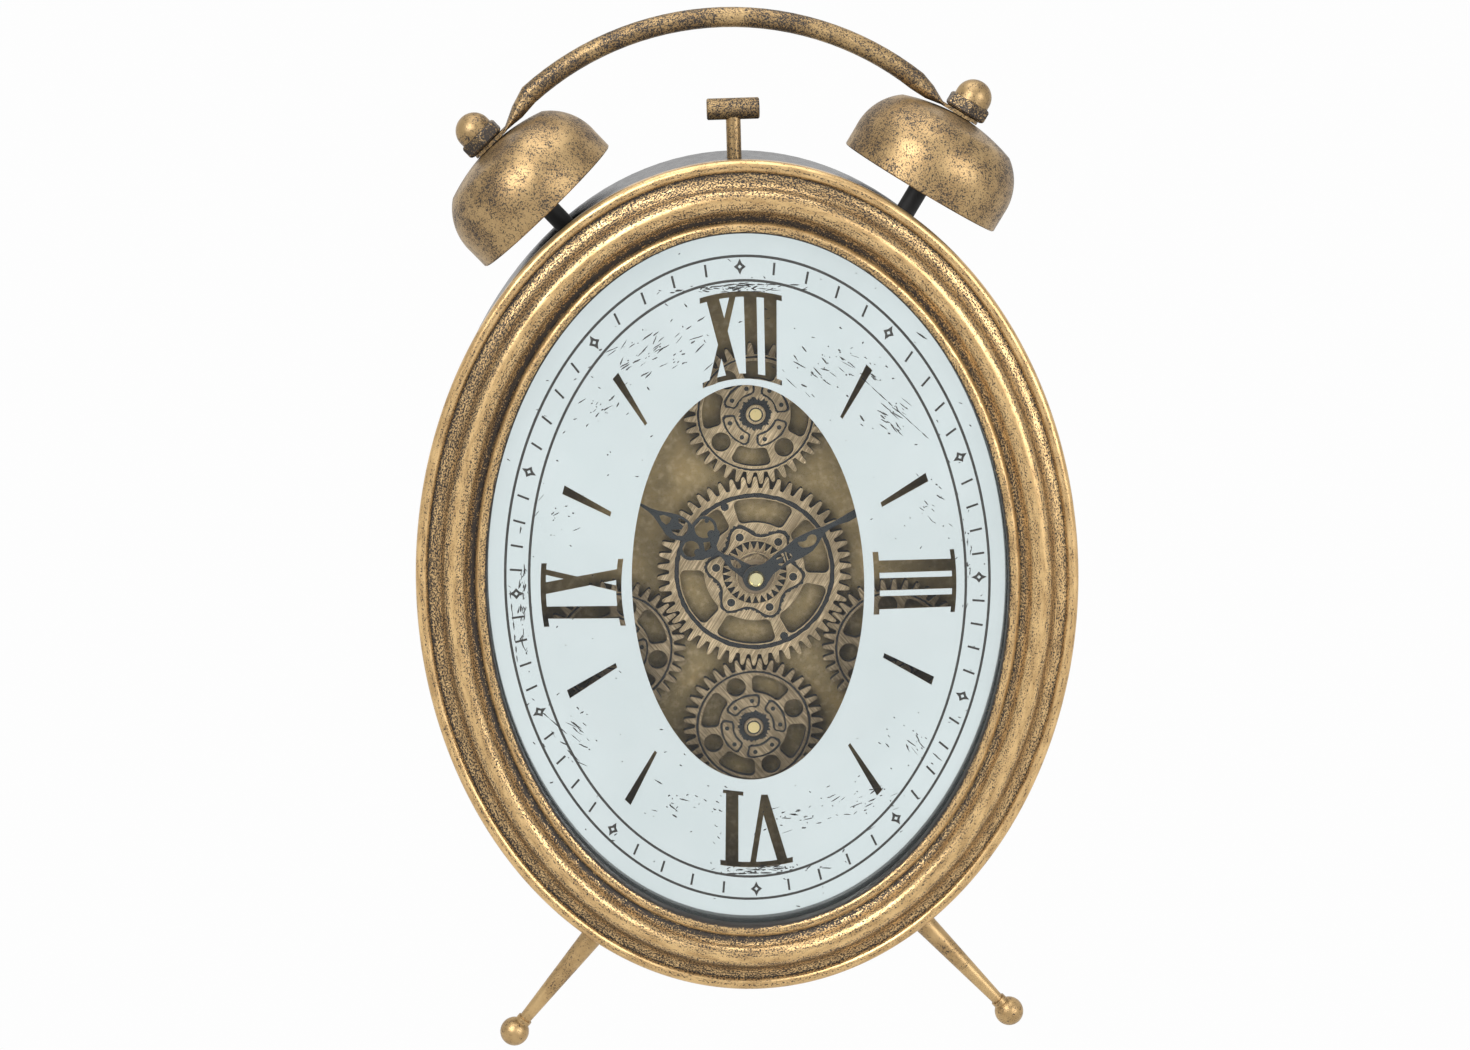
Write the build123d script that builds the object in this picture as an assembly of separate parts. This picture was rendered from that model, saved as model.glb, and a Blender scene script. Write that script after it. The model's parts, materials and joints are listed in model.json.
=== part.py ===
from build123d import *
import math
import os

# Gear clock: an oval case on three ball feet, two bells under a carrying bar, and a train of five
# gears turning behind a mirrored glass. Millimetres, +Z up, the dial faces -Y, and the origin is on
# the table under the middle of the whole clock. Depths are measured backwards from the glass's face.

# Case
case_half_width = 150.0
case_half_height = 193.0
case_stand = 27.0
case_back_depth = 66.0
drum_inset = 2.0
drum_wall = 1.2

# Bezel moulding
bezel_width = 32.0
bezel_rise = 9.5
bezel_skirt_depth = 3.0
bezel_skirt_wall = 1.4
lip_shares = [(0.0, 0.19), (0.03, 0.38), (0.078, 0.44), (0.156, 0.337), (0.175, 0.2)]
cove_shares = [(0.3, 0.31), (0.394, 0.674)]
crown_shares = [(0.46, 0.92), (0.541, 1.0), (0.62, 0.93), (0.694, 0.726)]
bead_shares = [(0.75, 0.442), (0.831, 0.316), (0.87, 0.56), (0.916, 0.632), (0.96, 0.56), (1.0, 0.337)]
bezel_back_shares = [(1.0, 0.0), (0.8, 0.0), (0.541, 0.8), (0.2, 0.05)]

# Glass, printed mirror and what holds them
glass_thickness = 3.0
glass_overlap = 6.0
mirror_thickness = 0.3
window_width_share = 0.4475
window_height_share = 0.5736
track_side_margin = 7.4
track_top_margin = 10.1
steep_mark_outer_width = 3.7
steep_mark_inner_width = 1.45
flat_mark_outer_width = 4.0
flat_mark_inner_width = 2.2
mark_end_shares = {
    30.0: (0.83, 0.64),
    60.0: (0.805, 0.6),
    120.0: (0.82, 0.6),
    150.0: (0.852, 0.65),
}
spacer_wall = 3.0
spacer_margin = 1.5

# Base plate behind the gears
plate_depth = 30.0
plate_thickness = 2.0
plate_gap = 0.5
lug_count = 4
lug_reach = 13.0
lug_width = 16.0
lug_thickness = 2.0
screw_inset = 7.0
screw_shank_radius = 1.5
screw_hole_gap = 0.15
screw_head_radius = 3.0
screw_head_height = 1.8

# Where the movement sits on the plate, as seen from the front
movement_right = 3.8
movement_up = 1.6
movement_turn = -1.8

# Gears
centre_pitch_share = 0.3644
centre_teeth = 50
outer_teeth = 36
gear_standoff = 8.0
gear_thickness = 4.0
addendum_share = 1.0
dedendum_share = 1.5
tooth_root_share = 0.33
tooth_tip_share = 0.1
window_corner = 2.6
centre_window_inner_share = 0.538
centre_window_outer_share = 0.8
centre_window_span_angle = 49.0
centre_window_count = 6
centre_window_turn = 83.0
star_body_share = 0.38
star_arm_ring_share = 0.42
star_arm_share = 0.107
star_corner = 2.0
star_thickness = 1.3
star_turn = 113.0
star_bore_share = 0.342
pinion_teeth = 26
pinion_pitch_share = 0.308
pinion_height = 2.2
outer_window_inner_share = 0.52
outer_window_outer_share = 0.79
outer_window_span_angle = 46.0
outer_hole_ring_share = 0.656
outer_hole_share = 0.142
outer_spokes = 4
hub_tube_radius = 4.7
hub_tube_rise = 2.4
outer_gear_angles = {
    "top_gear": (90.0, 85.0),
    "bottom_gear": (-90.0, 69.0),
    "left_gear": (209.5, 30.0),
    "right_gear": (-29.5, 142.0),
}

driven_gear = "bottom_gear"

# Arbors and the movement's pipes
running_gap = 0.06
arbor_radius = 2.65
arbor_collar_radius = 5.0
seat_gap = 0.3
bushing_radius = 4.0
bushing_front_depth = 15.0
bushing_reach = 6.0
drive_shaft_reach = 7.0
bushing_nut_flats = 12.0
bushing_nut_height = 2.4
gear_nut_flats = 17.0
gear_nut_height = 2.6
gear_nut_angle = 21.0
hour_pipe_radius = 2.5
hour_pipe_reach = 4.0
minute_arbor_radius = 1.7
minute_arbor_reach = 5.0

# Hands
hand_thickness = 0.8
hour_hand_depth = 11.5
minute_hand_depth = 9.0
hour_hand_share = 0.576
minute_hand_share = 0.83
hour_hand_angle = 55.5
minute_hand_angle = -57.5
hand_hub_radius = 6.8
hour_blade_shares = [(0.0, 0.043), (0.29, 0.026), (0.4, 0.05), (0.55, 0.06), (0.7, 0.055),
                     (0.82, 0.025), (1.0, 0.005)]
hour_disc_shares = [(0.18, 0.0, 0.06, 0.028), (0.474, 0.081, 0.088, 0.062),
                    (0.474, -0.081, 0.088, 0.062), (0.625, 0.0, 0.082, 0.05), (0.73, 0.0, 0.04, 0.026)]
minute_blade_shares = [(0.0, 0.034), (0.11, 0.029), (0.165, 0.042), (0.215, 0.03), (0.27, 0.043),
                       (0.33, 0.043), (0.42, 0.021), (0.54, 0.013), (0.8, 0.007), (1.0, 0.003)]
minute_disc_shares = [(0.165, 0.0, 0.044, 0.026), (0.285, 0.0, 0.04, 0.021), (0.315, 0.0, 0.04, 0.021),
                      (0.345, 0.0, 0.03, 0.015)]
hand_nut_radius = 3.8
hand_nut_height = 2.4
hand_nut_bevel = 0.8

# Quartz movement behind the plate
movement_side = 56.0
movement_thickness = 15.0
movement_corner = 4.0
cell_radius = 7.25
cell_length = 49.0
cell_tip_radius = 2.7
cell_tip_length = 1.4
bay_gap = 0.4
bay_length = 53.0
bay_floor = 1.4
module_bore_gap = 0.4
clock_bay_drop = 17.6
thumb_wheel_radius = 7.0
thumb_wheel_thickness = 3.0
thumb_wheel_notches = 20
thumb_wheel_notch_depth = 0.7
thumb_wheel_offset = 14.0
set_spindle_radius = 1.5
set_spindle_length = 4.0

# Gear drive behind the bottom gear
drive_bay_drop = 17.6
switch_slot_length = 9.6
switch_slot_width = 4.4
switch_slot_sink = 2.5
switch_knob_length = 4.6
switch_knob_stand = 1.8
switch_travel = 4.5
switch_rise = 15.0
contact_thickness = 0.5
contact_width = 9.0

# Rear cover
cover_thickness = 2.0
cover_gap = 0.5
service_width = 168.0
service_height = 154.0
service_drop = 25.0
service_corner = 12.0

# Bells, their stems and acorn nuts
bell_radius = 38.9
bell_height = 36.8
bell_wall = 1.5
bell_skirt_share = 0.25
bell_side_shares = [(0.935, 0.6), (0.72, 0.868)]
bell_cap_shares = [(0.38, 0.964), (0.0, 1.0)]
bell_hollow_shares = [(0.94, 0.58), (0.72, 0.855), (0.2, 1.0), (0.0, 1.0)]
left_bell_seat_share = -0.521
left_bell_standoff = 11.5
left_bell_tilt = -42.0
right_bell_seat_share = 0.516
right_bell_standoff = 13.1
right_bell_tilt = 32.0
stem_radius = 4.5
stud_radius = 4.0
stud_gap = 0.05
stud_grip = 9.0
nut_flats = 17.2
nut_hex_height = 6.7
nut_neck_height = 2.2
nut_dome_radius = 7.3
nut_chamfer = 0.9

# Carrying bar
bar_radius = 4.45
bar_rise = 64.7
bar_top_right = -3.5
left_end_inwards = 28.8
left_end_rise = 3.6
right_end_inwards = 25.5
right_end_rise = 2.6
tab_thickness = 1.6
tab_width = 15.0
tab_start = 11.0
pinch_share = 0.75

# Knob on top
knob_stem_radius = 3.3
knob_bar_radius = 4.8
knob_bar_length = 23.5
knob_standoff = 21.7
knob_chamfer = 0.5

# Legs and feet
foot_radius = 6.75
foot_flat = 0.5
leg_top_radius = 6.0
leg_root = 18.0
leg_bottom_radius = 2.7
leg_collar_radius = 3.6
leg_collar_length = 1.4
leg_seat_share = 0.7
left_leg_seat_share = -0.504
left_foot_spread = 40.9
right_leg_seat_share = 0.51
right_foot_spread = 43.0
leg_gap = 0.4
rear_foot_reach = 11.0
rear_leg_inset = 8.0

overrun = 5.0

dial_height = case_half_height + case_stand
rear_foot_depth = case_back_depth + rear_foot_reach
glass_y = (bezel_rise - rear_foot_depth - foot_radius) / 2
opening_half_width = case_half_width - bezel_width
opening_half_height = case_half_height - bezel_width
drum_half_width = case_half_width - drum_inset
drum_half_height = case_half_height - drum_inset
drum_middle_depth = case_back_depth / 2
centre_pitch_radius = centre_pitch_share * opening_half_width
gear_module = 2 * centre_pitch_radius / centre_teeth
outer_pitch_radius = gear_module * outer_teeth / 2
outer_gear_distance = centre_pitch_radius + outer_pitch_radius
gear_face_depth = plate_depth - gear_standoff
gear_back_depth = gear_face_depth + gear_thickness
plate_back_depth = plate_depth + plate_thickness


# Placing helpers

def front_plane(depth):
    """The plane of the dial at a depth behind the glass's face: X is right, Y is up."""
    return Plane(origin=(0, glass_y + depth, dial_height), x_dir=(1, 0, 0), z_dir=(0, -1, 0))


def slab(sketch, front_depth, thickness):
    """A flat piece from its outline as seen from the front."""
    return extrude(front_plane(front_depth) * sketch, amount=-thickness)


def oval(half_width, half_height):
    return Ellipse(half_width, half_height)


def oval_ring(half_width, half_height, wall):
    return oval(half_width, half_height) - oval(half_width - wall, half_height - wall)


def polar(radius, angle):
    return (radius * math.cos(math.radians(angle)), radius * math.sin(math.radians(angle)))


def movement_place(angle=0.0):
    """The movement's own frame on the dial, turned a little as it was screwed in."""
    return Pos(movement_right, movement_up, 0) * Rot(0, 0, movement_turn + angle)


def gear_centre(direction):
    x, y = polar(outer_gear_distance, direction + movement_turn)
    return (movement_right + x, movement_up + y)


def rod(start, end, radius, end_radius=None):
    """A straight round or tapered rod between two points."""
    start, end = Vector(*start), Vector(*end)
    along = end - start
    plane = Plane(origin=start, z_dir=along.normalized())
    if end_radius is None:
        return extrude(plane * Circle(radius), amount=along.length)
    top = Plane(origin=end, z_dir=along.normalized())
    return loft([plane * Circle(radius), top * Circle(end_radius)])


# Case

def make_case_drum():
    """Painted sheet band from the back of the bezel to the rear cover."""
    front = -bezel_back_shares[-1][1] * bezel_rise
    return slab(oval_ring(drum_half_width, drum_half_height, drum_wall), front,
                case_back_depth - front)


def make_bezel_ring():
    """Pressed moulding: rounded outer lip, cove, crown, cove and an inner bead over the glass."""
    skirt_share = -bezel_skirt_depth / bezel_rise
    wall_share = bezel_skirt_wall / bezel_width
    profile = lip_shares + cove_shares + crown_shares + bead_shares + bezel_back_shares
    profile += [(wall_share, bezel_back_shares[-1][1]), (wall_share, skirt_share), (0.0, skirt_share)]
    rings = [Edge.make_ellipse(case_half_width - across * bezel_width,
                               case_half_height - across * bezel_width,
                               plane=front_plane(-rise * bezel_rise)) for across, rise in profile]
    bands = [Face.make_surface_from_curves(ring, following)
             for ring, following in zip(rings, rings[1:] + rings[:1])]
    return Solid(Shell(bands))


def lug_points(inset):
    """Points evenly round the drum's inner wall, moved inwards by an inset, with their angles."""
    half_width = drum_half_width - drum_wall
    half_height = drum_half_height - drum_wall
    points = []
    for i in range(lug_count):
        turn = math.radians(360.0 / lug_count * (i + 0.5))
        x, y = half_width * math.cos(turn), half_height * math.sin(turn)
        normal = Vector(x / half_width ** 2, y / half_height ** 2).normalized()
        points.append((x - normal.X * inset, y - normal.Y * inset,
                       math.degrees(math.atan2(normal.Y, normal.X))))
    return points


def screw_holes():
    """Clearance holes for one ring of lug screws."""
    holes = [Pos(x, y) * Circle(screw_shank_radius + screw_hole_gap)
             for x, y, _ in lug_points(screw_inset)]
    return Sketch() + holes


def make_case_lugs():
    """Small shelves welded inside the drum: one ring for the base plate and one for the cover."""
    inner = oval(drum_half_width - drum_wall, drum_half_height - drum_wall)
    lugs = []
    for x, y, angle in lug_points(0):
        shelf = (Pos(x, y) * Rot(0, 0, angle) * Rectangle(2 * lug_reach, lug_width)) & inner
        shelf -= screw_holes()
        for depth in (plate_back_depth, case_back_depth - cover_thickness - lug_thickness):
            lugs.append(slab(shelf, depth, lug_thickness).solid())
    return Compound(lugs)


def make_lug_screws(head_depth, shank_depth, length):
    """Four plain-headed screws into the lugs, in one ring."""
    screws = []
    for x, y, _ in lug_points(screw_inset):
        screw = slab(Pos(x, y) * Circle(screw_head_radius), head_depth, screw_head_height)
        screw += slab(Pos(x, y) * Circle(screw_shank_radius), shank_depth, length)
        screws.append(screw.solid())
    return Compound(screws)


def make_rear_cover():
    """Flat sheet on the cover lugs, with a service opening for the cells, set wheel and switch."""
    margin = drum_wall + cover_gap
    sheet = oval(drum_half_width - margin, drum_half_height - margin) - screw_holes()
    sheet -= Pos(0, -service_drop) * RectangleRounded(service_width, service_height, service_corner)
    return slab(sheet, case_back_depth - cover_thickness, cover_thickness)


def make_rear_cover_screws():
    length = cover_thickness + lug_thickness
    return make_lug_screws(case_back_depth, case_back_depth - length, length)


# Glass and dial

def make_front_glass():
    return slab(oval(opening_half_width + glass_overlap, opening_half_height + glass_overlap), 0,
                glass_thickness)


def track_point(angle, share, aside):
    """A point at a share of the minute track's reach, clockwise from twelve, moved to one side."""
    half_width = opening_half_width - track_side_margin
    half_height = opening_half_height - track_top_margin

    def reach(turn):
        return 1 / math.hypot(math.sin(turn) / half_width, math.cos(turn) / half_height)

    turn = math.radians(angle)
    along = share * reach(turn + aside / (share * reach(turn)))
    return (along * math.sin(turn) + aside * math.cos(turn),
            along * math.cos(turn) - aside * math.sin(turn))


def mark_outline(angle, outer_share, inner_share):
    """One wedge hour mark, wide at its outer end, pointing at the middle of the dial."""
    steep = abs(math.cos(math.radians(angle))) > abs(math.sin(math.radians(angle)))
    outer = (steep_mark_outer_width if steep else flat_mark_outer_width) / 2
    inner = (steep_mark_inner_width if steep else flat_mark_inner_width) / 2
    return make_face(Polyline(track_point(angle, outer_share, outer),
                              track_point(angle, outer_share, -outer),
                              track_point(angle, inner_share, -inner),
                              track_point(angle, inner_share, inner), close=True))


def make_mirror_layer():
    """The silvered print behind the glass, clear in the middle oval and at the wedge marks."""
    silver = oval(opening_half_width + glass_overlap, opening_half_height + glass_overlap)
    silver -= oval(window_width_share * opening_half_width, window_height_share * opening_half_height)
    for angle, (outer_share, inner_share) in mark_end_shares.items():
        silver -= mark_outline(angle, outer_share, inner_share)
        silver -= mark_outline(-angle, outer_share, inner_share)
    return slab(silver, glass_thickness, mirror_thickness)


def make_spacer_ring():
    """Edge ring that holds the glass off the base plate."""
    front = glass_thickness + mirror_thickness
    half_width = opening_half_width + spacer_margin + spacer_wall
    half_height = opening_half_height + spacer_margin + spacer_wall
    return slab(oval_ring(half_width, half_height, spacer_wall), front, plate_depth - front)


def make_base_plate():
    half_width = drum_half_width - drum_wall - plate_gap
    half_height = drum_half_height - drum_wall - plate_gap
    sheet = oval(half_width, half_height) - screw_holes()
    sheet -= Pos(movement_right, movement_up) * Circle(bushing_radius + running_gap)
    for name, (direction, _) in outer_gear_angles.items():
        radius = bushing_radius if name == driven_gear else arbor_radius
        sheet -= Pos(*gear_centre(direction)) * Circle(radius + running_gap)
    return slab(sheet, plate_depth, plate_thickness)


def make_plate_screws():
    return make_lug_screws(plate_depth - screw_head_height, plate_depth,
                           plate_thickness + lug_thickness)


# Gears

def toothed_outline(teeth, module, first_tooth):
    """Outline of a spur gear with slim tapered teeth and one tooth at a given angle."""
    tip = module * teeth / 2 + module * addendum_share
    root = module * teeth / 2 - module * dedendum_share
    step = 360.0 / teeth
    points = []
    for i in range(teeth):
        middle = first_tooth + i * step
        points.append(polar(root, middle - tooth_root_share * step))
        points.append(polar(tip, middle - tooth_tip_share * step))
        points.append(polar(tip, middle + tooth_tip_share * step))
        points.append(polar(root, middle + tooth_root_share * step))
    return make_face(Polyline(*points, close=True))


def kidney(inner, outer, span, corner):
    """A curved window about the X axis, with rounded corners."""
    half = math.radians(span / 2)
    reach = outer + corner
    edge = (reach * math.cos(half), reach * math.sin(half))
    wedge = make_face(Polyline((0, 0), (edge[0], -edge[1]), (reach / math.cos(half), 0), edge,
                               close=True))
    window = (Circle(outer) - Circle(inner)) & wedge
    return fillet(window.vertices(), corner)


def around(sketch, count, turn):
    """A sketch repeated round the middle."""
    copies = Sketch()
    for i in range(count):
        copies += Rot(0, 0, turn + 360.0 / count * i) * sketch
    return copies


def at_gear(piece, x, y):
    """Moves a piece made about the dial's middle to a gear's centre."""
    return Pos(x, 0, y) * piece


def make_centre_gear():
    """Six-windowed wheel turning on the movement's threaded bushing."""
    outline = toothed_outline(centre_teeth, gear_module, 90.0)
    window = kidney(centre_window_inner_share * centre_pitch_radius,
                    centre_window_outer_share * centre_pitch_radius, centre_window_span_angle,
                    window_corner)
    outline -= around(window, centre_window_count, centre_window_turn)
    bore = Circle(bushing_radius + running_gap)
    wheel = slab(outline - bore, gear_face_depth, gear_thickness)
    hub_back = plate_depth - bushing_nut_height - seat_gap
    wheel += slab(Circle(hub_tube_radius + arbor_radius) - bore, gear_back_depth,
                  hub_back - gear_back_depth)
    return movement_solid(wheel)


def movement_solid(piece):
    """Turns a piece made about the dial's middle with the movement and moves it to its centre."""
    axis = Axis((0, 0, dial_height), (0, -1, 0))
    return Pos(movement_right, 0, movement_up) * piece.rotate(axis, movement_turn)


def make_star_plate():
    """Six-armed wavy plate lying on the centre gear, open in the middle for the inner gear."""
    arm = Circle(star_arm_share * centre_pitch_radius)
    arm = Pos(star_arm_ring_share * centre_pitch_radius, 0) * arm
    outline = Circle(star_body_share * centre_pitch_radius)
    outline += around(arm, centre_window_count, star_turn)
    outline = fillet(outline.vertices(), star_corner)
    outline -= Circle(star_bore_share * centre_pitch_radius)
    return movement_solid(slab(outline, gear_face_depth - star_thickness, star_thickness))


def make_inner_gear():
    """Small toothed wheel inside the star plate, fixed to the centre gear."""
    module = 2 * pinion_pitch_share * centre_pitch_radius / pinion_teeth
    outline = toothed_outline(pinion_teeth, module, star_turn)
    outline -= Circle(bushing_radius + running_gap)
    return movement_solid(slab(outline, gear_face_depth - pinion_height, pinion_height))


def mesh_turn(direction):
    """Angle of one tooth of an outer gear so that it meshes with the centre gear at rest."""
    step = 360.0 / centre_teeth
    ahead = ((90.0 - direction) / step) % 1.0
    return direction + 180.0 - (ahead + 0.5) * 360.0 / outer_teeth


def make_outer_gear(name):
    """Wheel with four kidney windows between four round holes, and a raised hub."""
    direction, window_turn = outer_gear_angles[name]
    outline = toothed_outline(outer_teeth, gear_module, mesh_turn(direction))
    window = kidney(outer_window_inner_share * outer_pitch_radius,
                    outer_window_outer_share * outer_pitch_radius, outer_window_span_angle,
                    window_corner)
    outline -= around(window, outer_spokes, window_turn)
    hole = Pos(outer_hole_ring_share * outer_pitch_radius, 0) * \
        Circle(outer_hole_share * outer_pitch_radius)
    outline -= around(hole, outer_spokes, window_turn + 180.0 / outer_spokes)
    wheel = slab(outline, gear_face_depth, gear_thickness)
    tube_front = gear_face_depth - hub_tube_rise
    wheel += slab(Circle(hub_tube_radius), tube_front, hub_tube_rise)
    wheel -= slab(Circle(arbor_radius + running_gap), tube_front - overrun,
                  gear_thickness + hub_tube_rise + 2 * overrun)
    x, y = gear_centre(direction)
    turned = wheel.rotate(Axis((0, 0, dial_height), (0, -1, 0)), movement_turn)
    return at_gear(turned, x, y)


def make_gear_arbors():
    """Riveted pins, each with a collar behind its gear, for the three gears that run free."""
    pins = []
    front = gear_face_depth - hub_tube_rise
    collar_front = gear_back_depth + seat_gap
    for name, (direction, _) in outer_gear_angles.items():
        if name != driven_gear:
            pin = slab(Circle(arbor_radius), front, plate_back_depth - front)
            pin += slab(Circle(arbor_collar_radius), collar_front, plate_depth - collar_front)
            pins.append(at_gear(pin, *gear_centre(direction)).solid())
    return Compound(pins)


def make_drive_shaft():
    """Output shaft of the gear drive, with a collar that the bottom gear sits on."""
    front = gear_face_depth - hub_tube_rise
    collar_back = plate_depth - bushing_nut_height - seat_gap
    shaft = slab(Circle(arbor_radius), front, plate_back_depth + drive_shaft_reach - front)
    shaft += slab(Circle(arbor_collar_radius), gear_back_depth, collar_back - gear_back_depth)
    return at_gear(shaft, *drive_centre())


# Movement and hands

def pipe(radius, bore, front_depth, back_depth):
    outline = Circle(radius) - Circle(bore) if bore else Circle(radius)
    return Pos(movement_right, 0, movement_up) * slab(outline, front_depth, back_depth - front_depth)


def make_movement_bushing():
    """Threaded bushing that fixes the movement to the plate and carries the centre gear."""
    return pipe(bushing_radius, hour_pipe_radius + running_gap, bushing_front_depth,
                plate_back_depth + bushing_reach)


def make_bushing_nut():
    """Thin hexagon nut on a threaded bushing, at the middle of the dial."""
    outline = RegularPolygon(bushing_nut_flats / 2, 6, major_radius=False)
    outline -= Circle(bushing_radius + stud_gap)
    return slab(outline, plate_depth - bushing_nut_height, bushing_nut_height)


def make_gear_nut():
    """Hexagon nut on the bushing, in front of the inner gear, that keeps the centre gear back."""
    outline = Rot(0, 0, gear_nut_angle) * RegularPolygon(gear_nut_flats / 2, 6, major_radius=False)
    outline -= Circle(bushing_radius + stud_gap)
    front = gear_face_depth - pinion_height - seat_gap - gear_nut_height
    return Pos(movement_right, 0, movement_up) * slab(outline, front, gear_nut_height)


def make_hour_pipe():
    return pipe(hour_pipe_radius, minute_arbor_radius + running_gap, hour_hand_depth,
                plate_back_depth + hour_pipe_reach)


def make_minute_arbor():
    front = minute_hand_depth - hand_nut_height / 2
    return pipe(minute_arbor_radius, 0, front, plate_back_depth + minute_arbor_reach)


def make_hand(blade_shares, disc_shares, length, bore, angle, depth):
    """A pierced hand: a blade from its half widths, discs with eyes along it, and a round hub."""
    upper = [(along * length, half * length) for along, half in blade_shares]
    lower = [(x, -y) for x, y in reversed(upper)]
    outline = make_face(Polyline(*upper, *lower, close=True))
    for along, aside, disc, _ in disc_shares:
        outline += Pos(along * length, aside * length) * Circle(disc * length)
    for along, aside, _, eye in disc_shares:
        outline -= Pos(along * length, aside * length) * Circle(eye * length)
    outline += Circle(hand_hub_radius)
    outline -= Circle(bore + stud_gap)
    blade = Rot(0, 0, 90 + angle) * outline
    return Pos(movement_right, 0, movement_up) * slab(blade, depth, hand_thickness)


def make_hour_hand():
    """Hand with a small eye near the hub, two ring lobes side by side and a pierced spear tip."""
    return make_hand(hour_blade_shares, hour_disc_shares, hour_hand_share * opening_half_width,
                     hour_pipe_radius, hour_hand_angle, hour_hand_depth)


def make_minute_hand():
    """Slimmer hand with one eye near the hub, a long slot and a fine tip."""
    return make_hand(minute_blade_shares, minute_disc_shares, minute_hand_share * opening_half_width,
                     minute_arbor_radius, minute_hand_angle, minute_hand_depth)


def make_hand_nut():
    """Brass cap nut on the minute arbor, with a bevelled front and a blind bore."""
    front = minute_hand_depth - hand_nut_height
    nut = slab(Circle(hand_nut_radius), front, hand_nut_height)
    nut = chamfer(nut.faces().sort_by(Axis.Y)[0].edges(), hand_nut_bevel)
    bore_depth = hand_nut_height / 2 + stud_gap
    nut -= slab(Circle(minute_arbor_radius + stud_gap), minute_hand_depth - bore_depth,
                bore_depth + overrun)
    return Pos(movement_right, 0, movement_up) * nut


def module_case(bay_drop):
    """Square quartz module at the middle of the dial, with a bay for one cell open at the back."""
    case = slab(RectangleRounded(movement_side, movement_side, movement_corner), plate_back_depth,
                movement_thickness)
    case -= slab(Circle(bushing_radius + running_gap), plate_back_depth - overrun,
                 overrun + drive_shaft_reach + module_bore_gap)
    bay = Pos(0, -bay_drop) * Rectangle(bay_length, 2 * (cell_radius + bay_gap))
    return case - slab(bay, plate_back_depth + bay_floor, movement_thickness)


def make_movement_case():
    """Clock movement, with a hole for the spindle of its set wheel."""
    case = module_case(clock_bay_drop)
    spindle = Pos(thumb_wheel_offset, thumb_wheel_offset) * Circle(set_spindle_radius + running_gap)
    back = plate_back_depth + movement_thickness
    case -= slab(spindle, back - set_spindle_length, set_spindle_length + overrun)
    return Pos(movement_right, 0, movement_up) * case


def cell(x, y):
    """One round cell lying in a module's bay, with its positive tip on the right."""
    body = Cylinder(cell_radius, cell_length)
    body += Pos(0, 0, (cell_length + cell_tip_length) / 2) * Cylinder(cell_tip_radius, cell_tip_length)
    depth = plate_back_depth + bay_floor + cell_radius
    return Pos(x - cell_tip_length / 2, glass_y + depth, dial_height + y) * Rot(0, 90, 0) * body


def make_clock_battery():
    return cell(movement_right, movement_up - clock_bay_drop)


def make_drive_battery():
    x, y = drive_centre()
    return cell(x, y - drive_bay_drop)


def make_battery_contacts():
    """Metal strips at both ends of the two cell bays."""
    strips = []
    x, y = drive_centre()
    for right, up in ((movement_right, movement_up - clock_bay_drop), (x, y - drive_bay_drop)):
        for end in (-1, 1):
            place = Pos(end * (bay_length - contact_thickness) / 2, 0)
            strip = slab(place * Rectangle(contact_thickness, contact_width),
                         plate_back_depth + bay_floor, movement_thickness - 2 * bay_floor)
            strips.append(at_gear(strip, right, up).solid())
    return Compound(strips)


def make_time_set_wheel():
    """Notched thumb wheel on the back of the movement."""
    back = plate_back_depth + movement_thickness
    points = []
    for i in range(thumb_wheel_notches):
        middle = 360.0 / thumb_wheel_notches * i
        half = 360.0 / thumb_wheel_notches / 4
        points += [polar(thumb_wheel_radius, middle - half), polar(thumb_wheel_radius, middle + half),
                   polar(thumb_wheel_radius - thumb_wheel_notch_depth, middle + 2 * half)]
    wheel = slab(make_face(Polyline(*points, close=True)), back + seat_gap, thumb_wheel_thickness)
    wheel += slab(Circle(set_spindle_radius), back - set_spindle_length + seat_gap,
                  set_spindle_length)
    return Pos(movement_right + thumb_wheel_offset, 0, movement_up + thumb_wheel_offset) * wheel


# Gear drive and its battery box

def drive_centre():
    return gear_centre(outer_gear_angles[driven_gear][0])


def make_drive_case():
    """Gear drive of the same size as the movement, with a slide switch slot in its back."""
    case = module_case(drive_bay_drop)
    back = plate_back_depth + movement_thickness
    slot = Pos(0, switch_rise) * Rectangle(switch_slot_length, switch_slot_width)
    case -= slab(slot, back - switch_slot_sink, switch_slot_sink + overrun)
    return at_gear(case, *drive_centre())


def make_drive_bushing():
    """Short threaded bushing of the drive, with its shaft running inside."""
    front = plate_depth - bushing_nut_height
    outline = Circle(bushing_radius) - Circle(arbor_radius + running_gap)
    bushing = slab(outline, front, plate_back_depth + bushing_reach - front)
    return at_gear(bushing, *drive_centre())


def make_drive_switch():
    """Slide switch knob in the slot of the drive, at its off end."""
    back = plate_back_depth + movement_thickness
    end_gap = (switch_slot_length - switch_knob_length - switch_travel) / 2
    x = end_gap + (switch_knob_length - switch_slot_length) / 2
    outline = Rectangle(switch_knob_length, switch_slot_width - 2 * seat_gap)
    knob = slab(Pos(x, switch_rise) * outline, back - switch_slot_sink + seat_gap,
                switch_slot_sink - seat_gap + switch_knob_stand)
    return at_gear(knob, *drive_centre())


# Bells, carrying bar and top knob

def drum_point(share):
    """A point on the drum's oval, at a share of its half width, with its height over the middle."""
    return share * drum_half_width, drum_half_height * math.sqrt(1 - share ** 2)


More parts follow.
